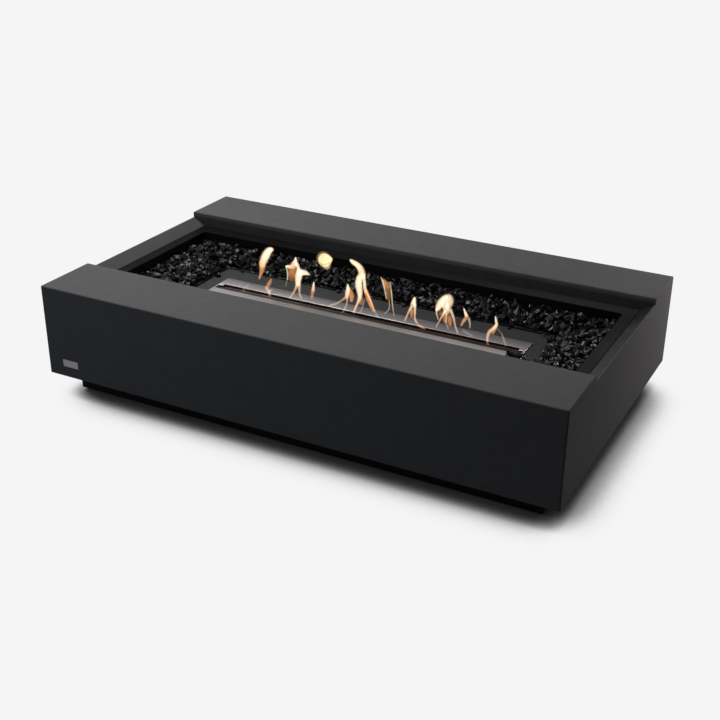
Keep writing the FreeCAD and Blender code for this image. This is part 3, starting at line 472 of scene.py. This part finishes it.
class Bed:
    """Where the crushed glass lies, read from the CAD nodes."""

    def __init__(self):
        low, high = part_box("glass_bed")
        _, plate_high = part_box("burner_cover_plate")
        self.floor, self.top = low[2], high[2]
        self.x, self.y = high[0], high[1]
        self.hole_x, self.hole_y = plate_high[0] + BED_TO_PLATE, plate_high[1] + BED_TO_PLATE
        self.plate_x, self.plate_y, self.plate_top = plate_high[0], plate_high[1], plate_high[2]
        self.edge = self.floor + BED_EDGE

    def height(self, x, y):
        along = (abs(x) - self.hole_x) / (self.x - self.hole_x)
        across = (abs(y) - self.hole_y) / (self.y - self.hole_y)
        return self.edge + max(0.0, along, across) * (self.top - self.edge)

    def beside_plate(self, x, y, size):
        """The nearest place to x, y where a lump clears the tray wall and the cover plate."""
        room = size + TRAY_MARGIN
        x = max(-self.x + room, min(self.x - room, x))
        y = max(-self.y + room, min(self.y - room, y))
        near_x, near_y = abs(x) - self.plate_x, abs(y) - self.plate_y
        if max(near_x, near_y) < size + PLATE_MARGIN:
            if near_x > near_y:
                x = math.copysign(self.plate_x + size + PLATE_MARGIN, x)
            else:
                y = math.copysign(self.plate_y + size + PLATE_MARGIN, y)
        return x, y


def scatter(bed, low_x, high_x, low_y, high_y, dice):
    """Places of lumps on one rectangle of the bed: a full layer and two broken layers on top."""
    places = []
    for layer, (share, lift) in enumerate(LAYERS):
        pitch = LUMP_PITCH * (1.0 + LAYER_LOOSER * layer)
        rows = max(1, round((high_y - low_y) / (pitch * LUMP_ROW)))
        columns = max(1, round((high_x - low_x) / pitch))
        for row in range(rows):
            for column in range(columns):
                if dice.random() > share:
                    continue
                size = LUMP_LONG * dice.choice(LUMP_SIZES)
                place_x = column + 0.5 + 0.5 * (row % 2) + dice.uniform(-LUMP_STRAY, LUMP_STRAY)
                place_y = row + 0.5 + dice.uniform(-LUMP_STRAY, LUMP_STRAY)
                x, y = bed.beside_plate(low_x + place_x * (high_x - low_x) / columns,
                                        low_y + place_y * (high_y - low_y) / rows, size)
                z = bed.height(x, y) + lift + size * LUMP_SINK + dice.uniform(*LUMP_UNEVEN)
                places.append(((x, y, z), size, dice.choice(LUMP_TIPS)))
    return places


def crushed_glass():
    dice = random.Random(20)
    shapes = [lump_shape(dice) for _ in range(LUMP_KINDS)]
    bed = Bed()
    banks = {
        "front": (-bed.x, bed.x, -bed.y, -bed.plate_y), "rear": (-bed.x, bed.x, bed.plate_y, bed.y),
        "left": (-bed.x, -bed.plate_x, -bed.plate_y, bed.plate_y),
        "right": (bed.plate_x, bed.x, -bed.plate_y, bed.plate_y),
    }
    for side, limits in banks.items():
        piece = lumps_mesh("crushed_glass_" + side, scatter(bed, *limits, dice), shapes, dice, "tray")
        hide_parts("glass_chips_" + side)
    strays = stray_places(bed, dice)
    lumps_mesh("glass_strays_on_plate", strays, shapes, dice, "burner")


STRAY_SIZES = (0.5, 0.62, 0.75)
STRAY_SINK = 0.52              # height of a stray lump's centre over the plate, in half lengths
STRAY_TIP, HEAP_TIP = 0.12, 0.5
HEAP_RISE = 0.006
# Places of single lumps on the burner
STRAYS = [
    (0.424, -0.070), (0.432, -0.058), (0.436, -0.080), (0.418, -0.092), (0.436, -0.100), (0.402, -0.098),
    (0.428, -0.040), (0.440, -0.026), (0.441, 0.020), (0.438, 0.052), (0.441, 0.078), (0.372, -0.098),
    (-0.438, -0.070), (-0.426, -0.092), (-0.436, -0.100), (-0.410, -0.102), (-0.441, 0.052),
    (-0.330, 0.105), (-0.120, 0.106), (0.060, 0.105), (0.236, 0.106), (0.330, 0.104), (0.412, 0.103),
    (0.434, 0.096), (-0.238, 0.107), (-0.400, 0.105),
]
# Small heaps of lumps on the burner: middle, half width along and across, number of lumps
HEAPS = [((0.398, -0.040), 0.019, 0.017, 44), ((0.424, -0.062), 0.012, 0.016, 14),
         ((-0.424, -0.066), 0.012, 0.018, 12), ((0.436, 0.094), 0.010, 0.014, 9)]


def stray_places(bed, dice):
    """Lumps that have rolled onto the cover plate, one by one and in small heaps."""
    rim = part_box("burner_rim")[1]
    places = []

    def lay(x, y, size, level, tipping):
        x = max(size - bed.plate_x, min(bed.plate_x - size, x))
        y = max(size - bed.plate_y, min(bed.plate_y - size, y))
        on_rim = abs(x) < rim[0] + size and abs(y) < rim[1] + size
        seat = rim[2] if on_rim else bed.plate_top
        places.append(((x, y, seat + size * STRAY_SINK + level), size, tipping))

    for x, y in STRAYS:
        lay(x, y, LUMP_LONG * dice.choice(STRAY_SIZES), 0.0, STRAY_TIP)
    for (x, y), along, across, count in HEAPS:
        for number in range(count):
            reach, turn = math.sqrt(dice.random()), dice.uniform(0, 2 * math.pi)
            size = LUMP_LONG * dice.choice(STRAY_SIZES)
            level = (1.0 - reach) * HEAP_RISE * (number % 2)
            off_x, off_y = along * reach * math.cos(turn), across * reach * math.sin(turn)
            lay(x + off_x, y + off_y, size, level, HEAP_TIP)
    return places


# Flames: light given off by burning vapour over the slot, so they are lamps and not pieces of the table.

FLAME_Y = 0.007
STROKE_STEPS = 40          # points of the smooth line between two given ones
FLAME_STEP = 0.5           # between the globes of light along a wide stroke, in half widths
THIN_STEP = 0.85           # the same in a thin stroke
THIN, WIDE = 0.003, 0.006  # half widths of a thin and a wide stroke
FLAME_FOOT = 0.184         # height at which flames start
FLAME_RISE = 0.030         # height over which they come to their full brightness
FOOT_SHARE = 0.55
AMBER_TOP, AMBER_LOW = 0.242, 0.212    # heights between which low cream strokes turn amber
PALE_END = 0.55            # share of a high cream stroke after which it turns amber
AMBER_SHARE = 0.75
AMBER_DIMMING = 0.30
# Weak amber glow round a stroke: width and brightness against the stroke, step, and the half width it needs
HALO_WIDTH, HALO_GLOW, HALO_STEP, HALO_FROM = 1.30, 0.11, 1.0, 0.0032
CREAM, AMBER, PINK = Vector((1.0, 0.90, 0.66)), Vector((1.0, 0.48, 0.20)), Vector((1.0, 0.74, 0.66))
WARM, BALL = Vector((1.0, 0.40, 0.14)), Vector((1.0, 0.86, 0.46))
FLAME_KINDS = {"cream": (CREAM, 0.66), "ball": (BALL, 0.62), "warm": (WARM, 0.36), "pink": (PINK, 0.55)}
PLACE_DECIMALS = 4         # of a metre


def camera_axes():
    """The camera's directions right, up and back, and where it stands."""
    azimuth, elevation, roll = CAMERA_AZIMUTH, CAMERA_ELEVATION, CAMERA_ROLL
    back = np.array((math.sin(azimuth) * math.cos(elevation), -math.cos(azimuth) * math.cos(elevation),
                     math.sin(elevation)))
    level = np.cross(-back, (0.0, 0.0, 1.0))
    level /= np.linalg.norm(level)
    upright = np.cross(level, -back)
    right = level * math.cos(roll) + upright * math.sin(roll)
    up = upright * math.cos(roll) - level * math.sin(roll)
    return right, up, back, np.array(CAMERA_TARGET) + back * CAMERA_DISTANCE


def from_photo(points):
    """Points read in the photograph, (column, row, half width) in pixels, brought over the slot."""
    right, up, back, place = camera_axes()
    line = []
    for column, row, half in points:
        ray = (column - IMAGE_PIXELS / 2) * right - (row - IMAGE_PIXELS / 2) * up - FOCAL_PIXELS * back
        reach = (FLAME_Y - place[1]) / ray[1]
        x, _, z = place + ray * reach
        line.append(np.round((x, z, half * reach), PLACE_DECIMALS))
    return line


def placed(points):
    """Points given over the slot, (x, z, half width) in mm."""
    return [np.array(point) / 1000.0 for point in points]


# Strokes of the flames: kind, brightness and the line, read in the photograph or placed to match it
FLAMES = {
    "wisp": ("cream", 1.5, from_photo([(271.6, 249.3, 1.6), (269.3, 250.2, 3), (267, 253.4, 3.9),
        (264.6, 258, 3.9), (262.8, 262.6, 3.4), (262, 266.5, 2.6)])),
    "wisp_tail": ("warm", 1.1, from_photo([(272.9, 249.4, 1), (271.8, 251, 1.6)])),
    "wisp_foot": ("warm", 1.2, from_photo([(262.6, 263.5, 3), (262.3, 268.5, 2.7), (261.1, 273, 1.7),
        (259.8, 277, 1), (259, 279.2, 0.6)])),
    "small_a": ("cream", 1.0, from_photo([(269.8, 296, 0.7), (269, 292, 1.4), (266.8, 288.6, 1.5),
        (265.5, 286.8, 0.8)])),
    "small_a_spur": ("cream", 0.8, from_photo([(269.2, 291.3, 1.2), (272.5, 289.4, 0.5)])),
    "small_a_tip": ("warm", 0.9, from_photo([(267.2, 286.8, 1.5), (269.3, 283.2, 1.9),
        (271.3, 279, 0.8)])),
    "lobe_left": ("cream", 1.3, from_photo([(295.6, 257.6, 0.6), (295.3, 261.5, 2), (293.6, 265.3, 3.2),
        (293, 267.5, 2.6)])),
    "lobe_corner": ("cream", 1.3, from_photo([(285.9, 266.2, 0.7), (288.4, 266.6, 1.6),
        (291.2, 266.8, 2.1)])),
    "lobe_right_side": ("cream", 1.3, from_photo([(296.8, 263.5, 1.6), (298.3, 268, 1.7),
        (298.4, 271.5, 2)])),
    "lobe_left_edge": ("cream", 0.9, from_photo([(286.2, 267, 0.9), (287.4, 271.5, 0.8),
        (287.6, 276.5, 0.7), (287, 280, 0.5)])),
    "lobe_thread": ("pink", 0.35, from_photo([(287, 280.5, 0.6), (286.2, 284, 0.5), (285.6, 286.5, 0.4)])),
    "lobe_inside": ("warm", 1.1, placed([(-191, 268.5, 7.8), (-191.5, 258, 10), (-191.2, 249, 9.4)])),
    "lobe_inside_low": ("warm", 0.55, placed([(-193, 246, 8.8), (-190.5, 235, 5.4)])),
    "trunk": ("cream", 1.5, from_photo([(299.6, 271, 2.8), (298.8, 275.5, 3.6), (298.1, 280, 3.1),
        (297.8, 284, 2.3)])),
    "trunk_arm": ("cream", 1.4, from_photo([(300.5, 272.6, 3), (304.5, 272.6, 2.7), (307.6, 273.8, 1.5),
        (309.9, 274.8, 0.5)])),
    "trunk_leg": ("cream", 0.95, from_photo([(297.4, 284, 1.8), (295.4, 289, 1.2), (292.6, 294, 0.8),
        (289.8, 298, 0.6)])),
    "trunk_leg_b": ("cream", 0.95, from_photo([(299.2, 283.5, 1.8), (299.4, 290, 1.3), (299.9, 295, 0.9),
        (301.9, 298.8, 0.6)])),
    "blob": ("ball", 3.3, placed([(-105, 309, 12.5), (-99.5, 304, 16), (-95, 301, 13.5)])),
    "blob_corner": ("ball", 1.4, placed([(-93, 308, 9), (-87, 310, 6), (-82.5, 311, 3)])),
    "blob_low": ("ball", 1.3, placed([(-97, 294, 9), (-96, 288, 5)])),
    "small_b": ("cream", 1.3, from_photo([(313.8, 282.3, 0.6), (313.4, 287, 1.4), (312.9, 291.5, 1.8)])),
    "small_b_foot": ("warm", 0.9, from_photo([(312.6, 292, 1.8), (311.8, 297.8, 1.2)])),
    "swept": ("cream", 1.4, from_photo([(347.7, 284.4, 0.6), (348, 288.5, 1.7), (347.4, 293, 2.3),
        (346.9, 297, 1.8)])),
    "swept_side": ("warm", 1.2, placed([(-36.4, 246, 3.4), (-31, 236, 5.2), (-29.6, 226, 5.4),
        (-30.6, 214, 3)])),
    "swept_leg": ("cream", 0.7, from_photo([(345.8, 297.3, 1.4), (341.5, 300.5, 0.9), (336, 303.6, 1),
        (329.5, 305.6, 0.9)])),
    "swept_leg_b": ("cream", 0.9, from_photo([(347.2, 298, 1.2), (346.7, 304, 0.9), (344.4, 309.6, 0.8)])),
    "swept_end": ("warm", 1.2, from_photo([(343.8, 310.5, 0.9), (341.6, 313.4, 0.8)])),
    "tall": ("cream", 1.6, from_photo([(350.8, 260.3, 1.3), (353.5, 262.4, 2.2), (357.3, 264.9, 2.6),
        (360.4, 268.8, 3.1), (361.9, 273.5, 3.4), (361.5, 277, 3.4)])),
    "tall_left": ("cream", 1.5, from_photo([(360, 276.5, 2.8), (358.8, 281, 3.5), (358.8, 285.5, 3.6),
        (359.6, 291, 3), (359.9, 296, 2.2), (358.4, 301.5, 1.5), (355.6, 307.5, 1), (353.6, 312.8, 0.8)])),
    "tall_right": ("cream", 1.4, from_photo([(363.2, 275, 2.2), (364.3, 281.5, 1.6), (364.9, 288, 1.6),
        (366.4, 293.5, 1.8)])),
    "tall_leg": ("warm", 1.5, from_photo([(366, 291, 1.8), (368.3, 298, 2.3), (371, 305, 1.9),
        (374.2, 311.8, 1.2)])),
    "tall_edge": ("cream", 0.9, from_photo([(367.3, 293.5, 0.8), (371.2, 302, 0.8), (374.6, 310.5, 0.8),
        (378.5, 318, 0.8)])),
    "tall_inside": ("warm", 0.7, from_photo([(361.6, 298, 1.6), (361, 304, 1.4)])),
    "tall_thread": ("pink", 0.55, from_photo([(364.4, 300, 0.7), (362.6, 306.5, 0.7),
        (360.3, 312.5, 0.6)])),
    "ribbon": ("warm", 1.15, from_photo([(383.2, 279.8, 1.2), (386.2, 284.6, 2.8),
        (387.65, 288.75, 3.05)])),
    "ribbon_low": ("warm", 0.5, from_photo([(387.9, 290.5, 3.1), (388.3, 296, 2.9), (388.9, 299.6, 1.6)])),
    "ribbon_left": ("cream", 0.9, from_photo([(380.9, 277.3, 0.5), (382.8, 281.8, 0.9),
        (384.9, 290.5, 0.7), (386.4, 299, 0.6)])),
    "ribbon_right": ("cream", 0.85, from_photo([(390, 282.3, 0.7), (391.5, 293.5, 0.7), (392.6, 306, 0.7),
        (394.2, 316.5, 0.5)])),
    "ribbon_thread": ("pink", 0.55, from_photo([(389.3, 300.5, 0.7), (389, 309, 0.7), (384, 314.3, 0.6)])),
    "arch": ("cream", 1.5, from_photo([(414.6, 297.6, 0.8), (413.9, 301.5, 2.2), (412.8, 305.5, 2.5)])),
    "arch_left": ("cream", 1.0, from_photo([(411.5, 306.5, 1.4), (408.6, 312, 1.1), (406.2, 317.5, 0.9),
        (404.8, 321, 0.7)])),
    "arch_right": ("cream", 1.2, from_photo([(415, 304.5, 1.5), (414.9, 312, 1.1), (414.8, 318.5, 1.1),
        (417, 323.4, 1.3)])),
    "arch_end": ("warm", 2.2, from_photo([(418, 324.6, 1.3), (421.3, 326.8, 1.3), (425.3, 328.9, 0.9)])),
    "arch_inside": ("warm", 0.95, from_photo([(412, 308.5, 2), (411.6, 313, 1.8), (411.4, 317, 1)])),
    "big_head": ("cream", 1.25, from_photo([(448.4, 296.2, 2.4), (449.6, 300, 4), (449, 304.2, 3.6),
        (448, 307.6, 2.2)])),
    "big_arm": ("cream", 1.4, from_photo([(446, 296.6, 2.2), (442.2, 301, 3.5), (439.3, 305.5, 3.4),
        (437.4, 309.5, 2)])),
    "big_edge": ("cream", 1.0, from_photo([(436.4, 309.5, 1.1), (436.8, 314.5, 0.9),
        (438.3, 319.5, 0.7)])),
    "big_middle": ("cream", 1.3, from_photo([(444.6, 303.5, 3.6), (446.2, 308.5, 3.4),
        (447.2, 313, 2.5)])),
    "big_leg": ("cream", 0.95, from_photo([(444.8, 311.5, 1.4), (440.8, 318.5, 0.9), (436, 327, 0.7)])),
    "big_leg_b": ("cream", 0.8, from_photo([(446.4, 313.5, 1), (446.2, 322, 0.7), (448.2, 329, 0.6)])),
    "big_leg_c": ("cream", 1.0, from_photo([(450.4, 309.5, 1.6), (453.4, 317.5, 1.2), (455.2, 326, 1),
        (458, 333.8, 0.8)])),
    "big_inside": ("warm", 0.45, from_photo([(440.9, 311, 2), (440.4, 315.5, 1.5)])),
    "big_inside_b": ("warm", 0.9, from_photo([(448.9, 316, 2.4), (449.8, 322, 2.2), (450.3, 326, 1)])),
    "big_inside_c": ("warm", 0.9, placed([(208.5, 236, 5), (209.5, 224, 4.6), (212, 211, 2.6)])),
    "small_c": ("cream", 1.4, from_photo([(463.9, 308.6, 0.6), (465.4, 313, 1.3), (467.2, 317.5, 1.9)])),
    "small_c_left": ("warm", 1.3, from_photo([(466, 318, 1.8), (463.3, 321.5, 1.5), (461, 325.8, 0.8)])),
    "small_c_right": ("cream", 0.8, from_photo([(468.8, 318.5, 1.3), (469.9, 323.5, 1),
        (469.8, 328, 0.7)])),
    "small_c_haze": ("pink", 0.3, from_photo([(463, 330.5, 1.2), (468, 333.5, 1.6), (473, 336.5, 1.2)])),
    "last": ("cream", 1.25, from_photo([(495.5, 316.6, 0.6), (496, 321, 1.2), (496.5, 324.5, 1.5),
        (493.3, 328.6, 1.8), (489.3, 332, 1.8), (487.6, 336.5, 1.3), (487.3, 341.5, 1.1)])),
    "last_end": ("warm", 1.3, from_photo([(487.4, 342.5, 1.1), (488.2, 345.8, 0.8)])),
    "last_inside": ("warm", 0.9, from_photo([(496.4, 325.5, 1.6), (494.3, 330.5, 1.6),
        (492.6, 333.8, 1)])),
    "last_leg": ("cream", 0.65, from_photo([(501.9, 334, 0.6), (503.9, 340, 1.1), (506.2, 346.3, 0.8)])),
    "last_thread": ("pink", 0.3, from_photo([(497.4, 328.5, 0.6), (501.8, 334, 0.6)])),
    "tiny": ("warm", 1.3, from_photo([(243.9, 288.2, 0.8), (243.5, 290.3, 1.2)])),
    "tiny_left": ("pink", 0.3, from_photo([(239, 286.3, 0.5), (242.6, 281.3, 0.5)])),
    "tiny_right": ("pink", 0.4, from_photo([(244.6, 288.3, 0.7), (248.8, 284.3, 0.6)])),
}


def held(value):
    return max(0.0, min(1.0, value))


def smooth_line(points, steps):
    """Points along a Catmull-Rom curve through the given ones."""
    points = np.array(points, float)
    padded = np.vstack([2 * points[0] - points[1], points, 2 * points[-1] - points[-2]])
    line = []
    for k in range(len(points) - 1):
        a, b, c, d = padded[k:k + 4]
        for t in np.arange(steps) / steps:
            line.append(0.5 * (2 * b + (c - a) * t + (2 * a - 5 * b + 4 * c - d) * t * t
                               + (3 * b - 3 * c + d - a) * t ** 3))
    return np.array(line + [points[-1]])


def globe_step(radius):
    return radius * (THIN_STEP + (FLAME_STEP - THIN_STEP) * held((radius - THIN) / (WIDE - THIN)))


def halo_step(radius):
    return radius * HALO_STEP


def flame_globes(line, step):
    """Places and radii along a line, closer together where the flame is thin, and the share of its length."""
    globes = [(*line[0], 0.0)]
    for number, point in enumerate(line[1:], 1):
        gap = math.hypot(point[0] - globes[-1][0], point[1] - globes[-1][1])
        if gap >= step(globes[-1][2]):
            globes.append((*point, number / (len(line) - 1)))
    return globes


def globe(name, x, z, radius, colour, brightness, rig):
    data = bpy.data.lights.new(name, "POINT")
    data.shadow_soft_size = radius
    data.color = colour
    data.energy = 4 * math.pi ** 2 * radius ** 2 * brightness
    lamp = bpy.data.objects.new(name, data)
    lamp.location = (x, FLAME_Y, z)
    lamp.parent = rig
    lamp.visible_camera = True
    bpy.context.scene.collection.objects.link(lamp)


def flame(name, kind, glow, points, rig):
    """A row of small round lamps. Where they overlap they add up, so a stroke is bright along its middle."""
    own, share = FLAME_KINDS[kind]
    line = smooth_line(points, STROKE_STEPS)
    high = line[-1][1] > AMBER_TOP
    for number, (x, z, radius, along) in enumerate(flame_globes(line, globe_step)):
        rise = held((z - FLAME_FOOT) / FLAME_RISE)
        colour, strength = own, glow * share
        if kind == "cream":
            if high:
                amber = held((along - PALE_END) / (1.0 - PALE_END))
            else:
                amber = held((AMBER_TOP - z) / (AMBER_TOP - AMBER_LOW))
            colour = PINK.lerp(CREAM.lerp(AMBER, AMBER_SHARE * amber), rise)
            strength *= 1.0 - AMBER_DIMMING * amber
        brightness = strength * (FOOT_SHARE + (1.0 - FOOT_SHARE) * rise) * globe_step(radius) / (2 * radius)
        globe("flame_%s_%d" % (name, number), x, z, radius, colour, brightness, rig)
    if kind == "pink" or max(line[:, 2]) < HALO_FROM:
        return
    halo = line * (1.0, 1.0, HALO_WIDTH)
    for number, (x, z, radius, _) in enumerate(flame_globes(halo, halo_step)):
        globe("flame_%s_halo_%d" % (name, number), x, z, radius, AMBER, HALO_GLOW * glow * HALO_STEP / 2, rig)


def flames():
    rig = bpy.data.objects.new("flames", None)
    bpy.context.scene.collection.objects.link(rig)
    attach(rig, "burner")
    for name, (kind, glow, points) in FLAMES.items():
        flame(name, kind, glow, points, rig)


# Bare plate

PLATE_LEFT, PLATE_RIGHT = -0.588, -0.544
PLATE_LOW, PLATE_HIGH = 0.0805, 0.099
PLATE_SEAT = 0.001         # depth of its recess in the front face
PLATE_GAP = 0.00025
PLATE_BEVEL = 0.0003


def bare_plate():
    """A blank plate set flush in its recess, with softened edges."""
    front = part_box("cast_body")[0][1] + PLATE_GAP / 2
    back = front + PLATE_SEAT - PLATE_GAP / 2
    left, right = PLATE_LEFT + PLATE_GAP, PLATE_RIGHT - PLATE_GAP
    low, high = PLATE_LOW + PLATE_GAP, PLATE_HIGH - PLATE_GAP
    points, edge = [], PLATE_BEVEL
    for y, inset in ((back, 0.0), (front + edge, 0.0), (front, edge)):
        points += [(left + inset, y, low + inset), (right - inset, y, low + inset),
                   (right - inset, y, high - inset), (left + inset, y, high - inset)]
    faces = [(3, 2, 1, 0), (8, 9, 10, 11)]
    for ring in (0, 4):
        faces += [(ring + k, ring + (k + 1) % 4, ring + 4 + (k + 1) % 4, ring + 4 + k) for k in range(4)]
    piece = mesh_piece("bare_plate", points, faces, LOOKS["badge"])
    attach(piece, "table")


# Setting

def floor():
    """A pale floor that darkens where the table stands close over it."""
    look = bpy.data.materials.new("pale_floor")
    look.use_nodes = True
    look.node_tree.nodes.clear()
    nodes = Nodes(look.node_tree)
    lean = nodes.add("ShaderNodeCombineXYZ", dict(zip("XYZ", SHADOW_LEAN))).outputs[0]
    openness = nodes.add("ShaderNodeAmbientOcclusion", {"Distance": SHADOW_REACH, "Normal": lean},
                         samples=SHADOW_SAMPLES).outputs["AO"]
    shade = nodes.ramp(openness, *SHADOW_STOPS)
    place = nodes.axes(nodes.add("ShaderNodeTexCoord").outputs["Object"])
    under = [nodes.math("LESS_THAN", nodes.math("ABSOLUTE", axis), reach)
             for axis, reach in zip(place, UNDER_TABLE)]
    open_floor = nodes.math("SUBTRACT", 1.0, nodes.math("MULTIPLY", *under))
    shaded = nodes.add("ShaderNodeVectorMath", {0: shade, "Scale": open_floor}, operation="SCALE").outputs[0]
    bright = nodes.add("ShaderNodeEmission", {"Color": shaded, "Strength": BACKDROP}).outputs[0]
    dull = nodes.add("ShaderNodeBsdfDiffuse", {"Color": (FLOOR_BOUNCE,) * 3}).outputs[0]
    path = nodes.add("ShaderNodeLightPath").outputs
    camera_or_gloss = nodes.math("MAXIMUM", path["Is Camera Ray"], path["Is Glossy Ray"])
    any_view = nodes.math("MAXIMUM", camera_or_gloss, path["Is Transmission Ray"])
    chosen = nodes.add("ShaderNodeMixShader", {"Fac": any_view, 1: dull, 2: bright}).outputs[0]
    nodes.add("ShaderNodeOutputMaterial", {"Surface": chosen})
    half = FLOOR_HALF
    plane = mesh_piece("floor", [(-half, -half, 0), (half, -half, 0), (half, half, 0), (-half, half, 0)],
                       [(0, 1, 2, 3)], look)


def studio_world():
    """White near the horizon and dark overhead for reflections, and a weak even light for matt surfaces."""
    world = bpy.data.worlds.new("studio")
    world.use_nodes = True
    world.node_tree.nodes.clear()
    nodes = Nodes(world.node_tree)
    height = nodes.axes(nodes.add("ShaderNodeTexCoord").outputs["Generated"])[2]
    seen = nodes.add("ShaderNodeBackground", {"Color": nodes.ramp(height, *SKY_STOPS)}).outputs[0]
    weak = nodes.add("ShaderNodeBackground", {"Strength": AMBIENT}).outputs[0]
    diffuse = nodes.add("ShaderNodeLightPath").outputs["Is Diffuse Ray"]
    chosen = nodes.add("ShaderNodeMixShader", {"Fac": diffuse, 1: seen, 2: weak}).outputs[0]
    nodes.add("ShaderNodeOutputWorld", {"Surface": chosen})
    bpy.context.scene.world = world


def softbox(name, place, aim, power, width, depth, colour):
    data = bpy.data.lights.new(name, "AREA")
    data.shape = "RECTANGLE"
    data.size = width
    data.size_y = depth
    data.energy = power
    data.color = colour
    lamp = bpy.data.objects.new(name, data)
    lamp.location = place
    lamp.rotation_mode = "QUATERNION"
    lamp.rotation_quaternion = (Vector(aim) - Vector(place)).to_track_quat("-Z", "Y")
    lamp.visible_camera = False
    bpy.context.scene.collection.objects.link(lamp)


def lights():
    for name, settings in SOFTBOXES.items():
        softbox(name, *settings)


def camera():
    right, up, back, place = camera_axes()
    data = bpy.data.cameras.new("camera")
    data.sensor_width = SENSOR
    data.lens = FOCAL_PIXELS / IMAGE_PIXELS * SENSOR
    data.clip_start = CLIP_START
    data.clip_end = CLIP_END
    view = bpy.data.objects.new("camera", data)
    view.matrix_world = Matrix.Translation(place) @ Matrix((right, up, back)).transposed().to_4x4()
    bpy.context.scene.collection.objects.link(view)
    bpy.context.scene.camera = view


dress_nodes()
crushed_glass()
bare_plate()
flames()
floor()
studio_world()
lights()
camera()
bpy.context.scene.view_settings.view_transform = "Standard"
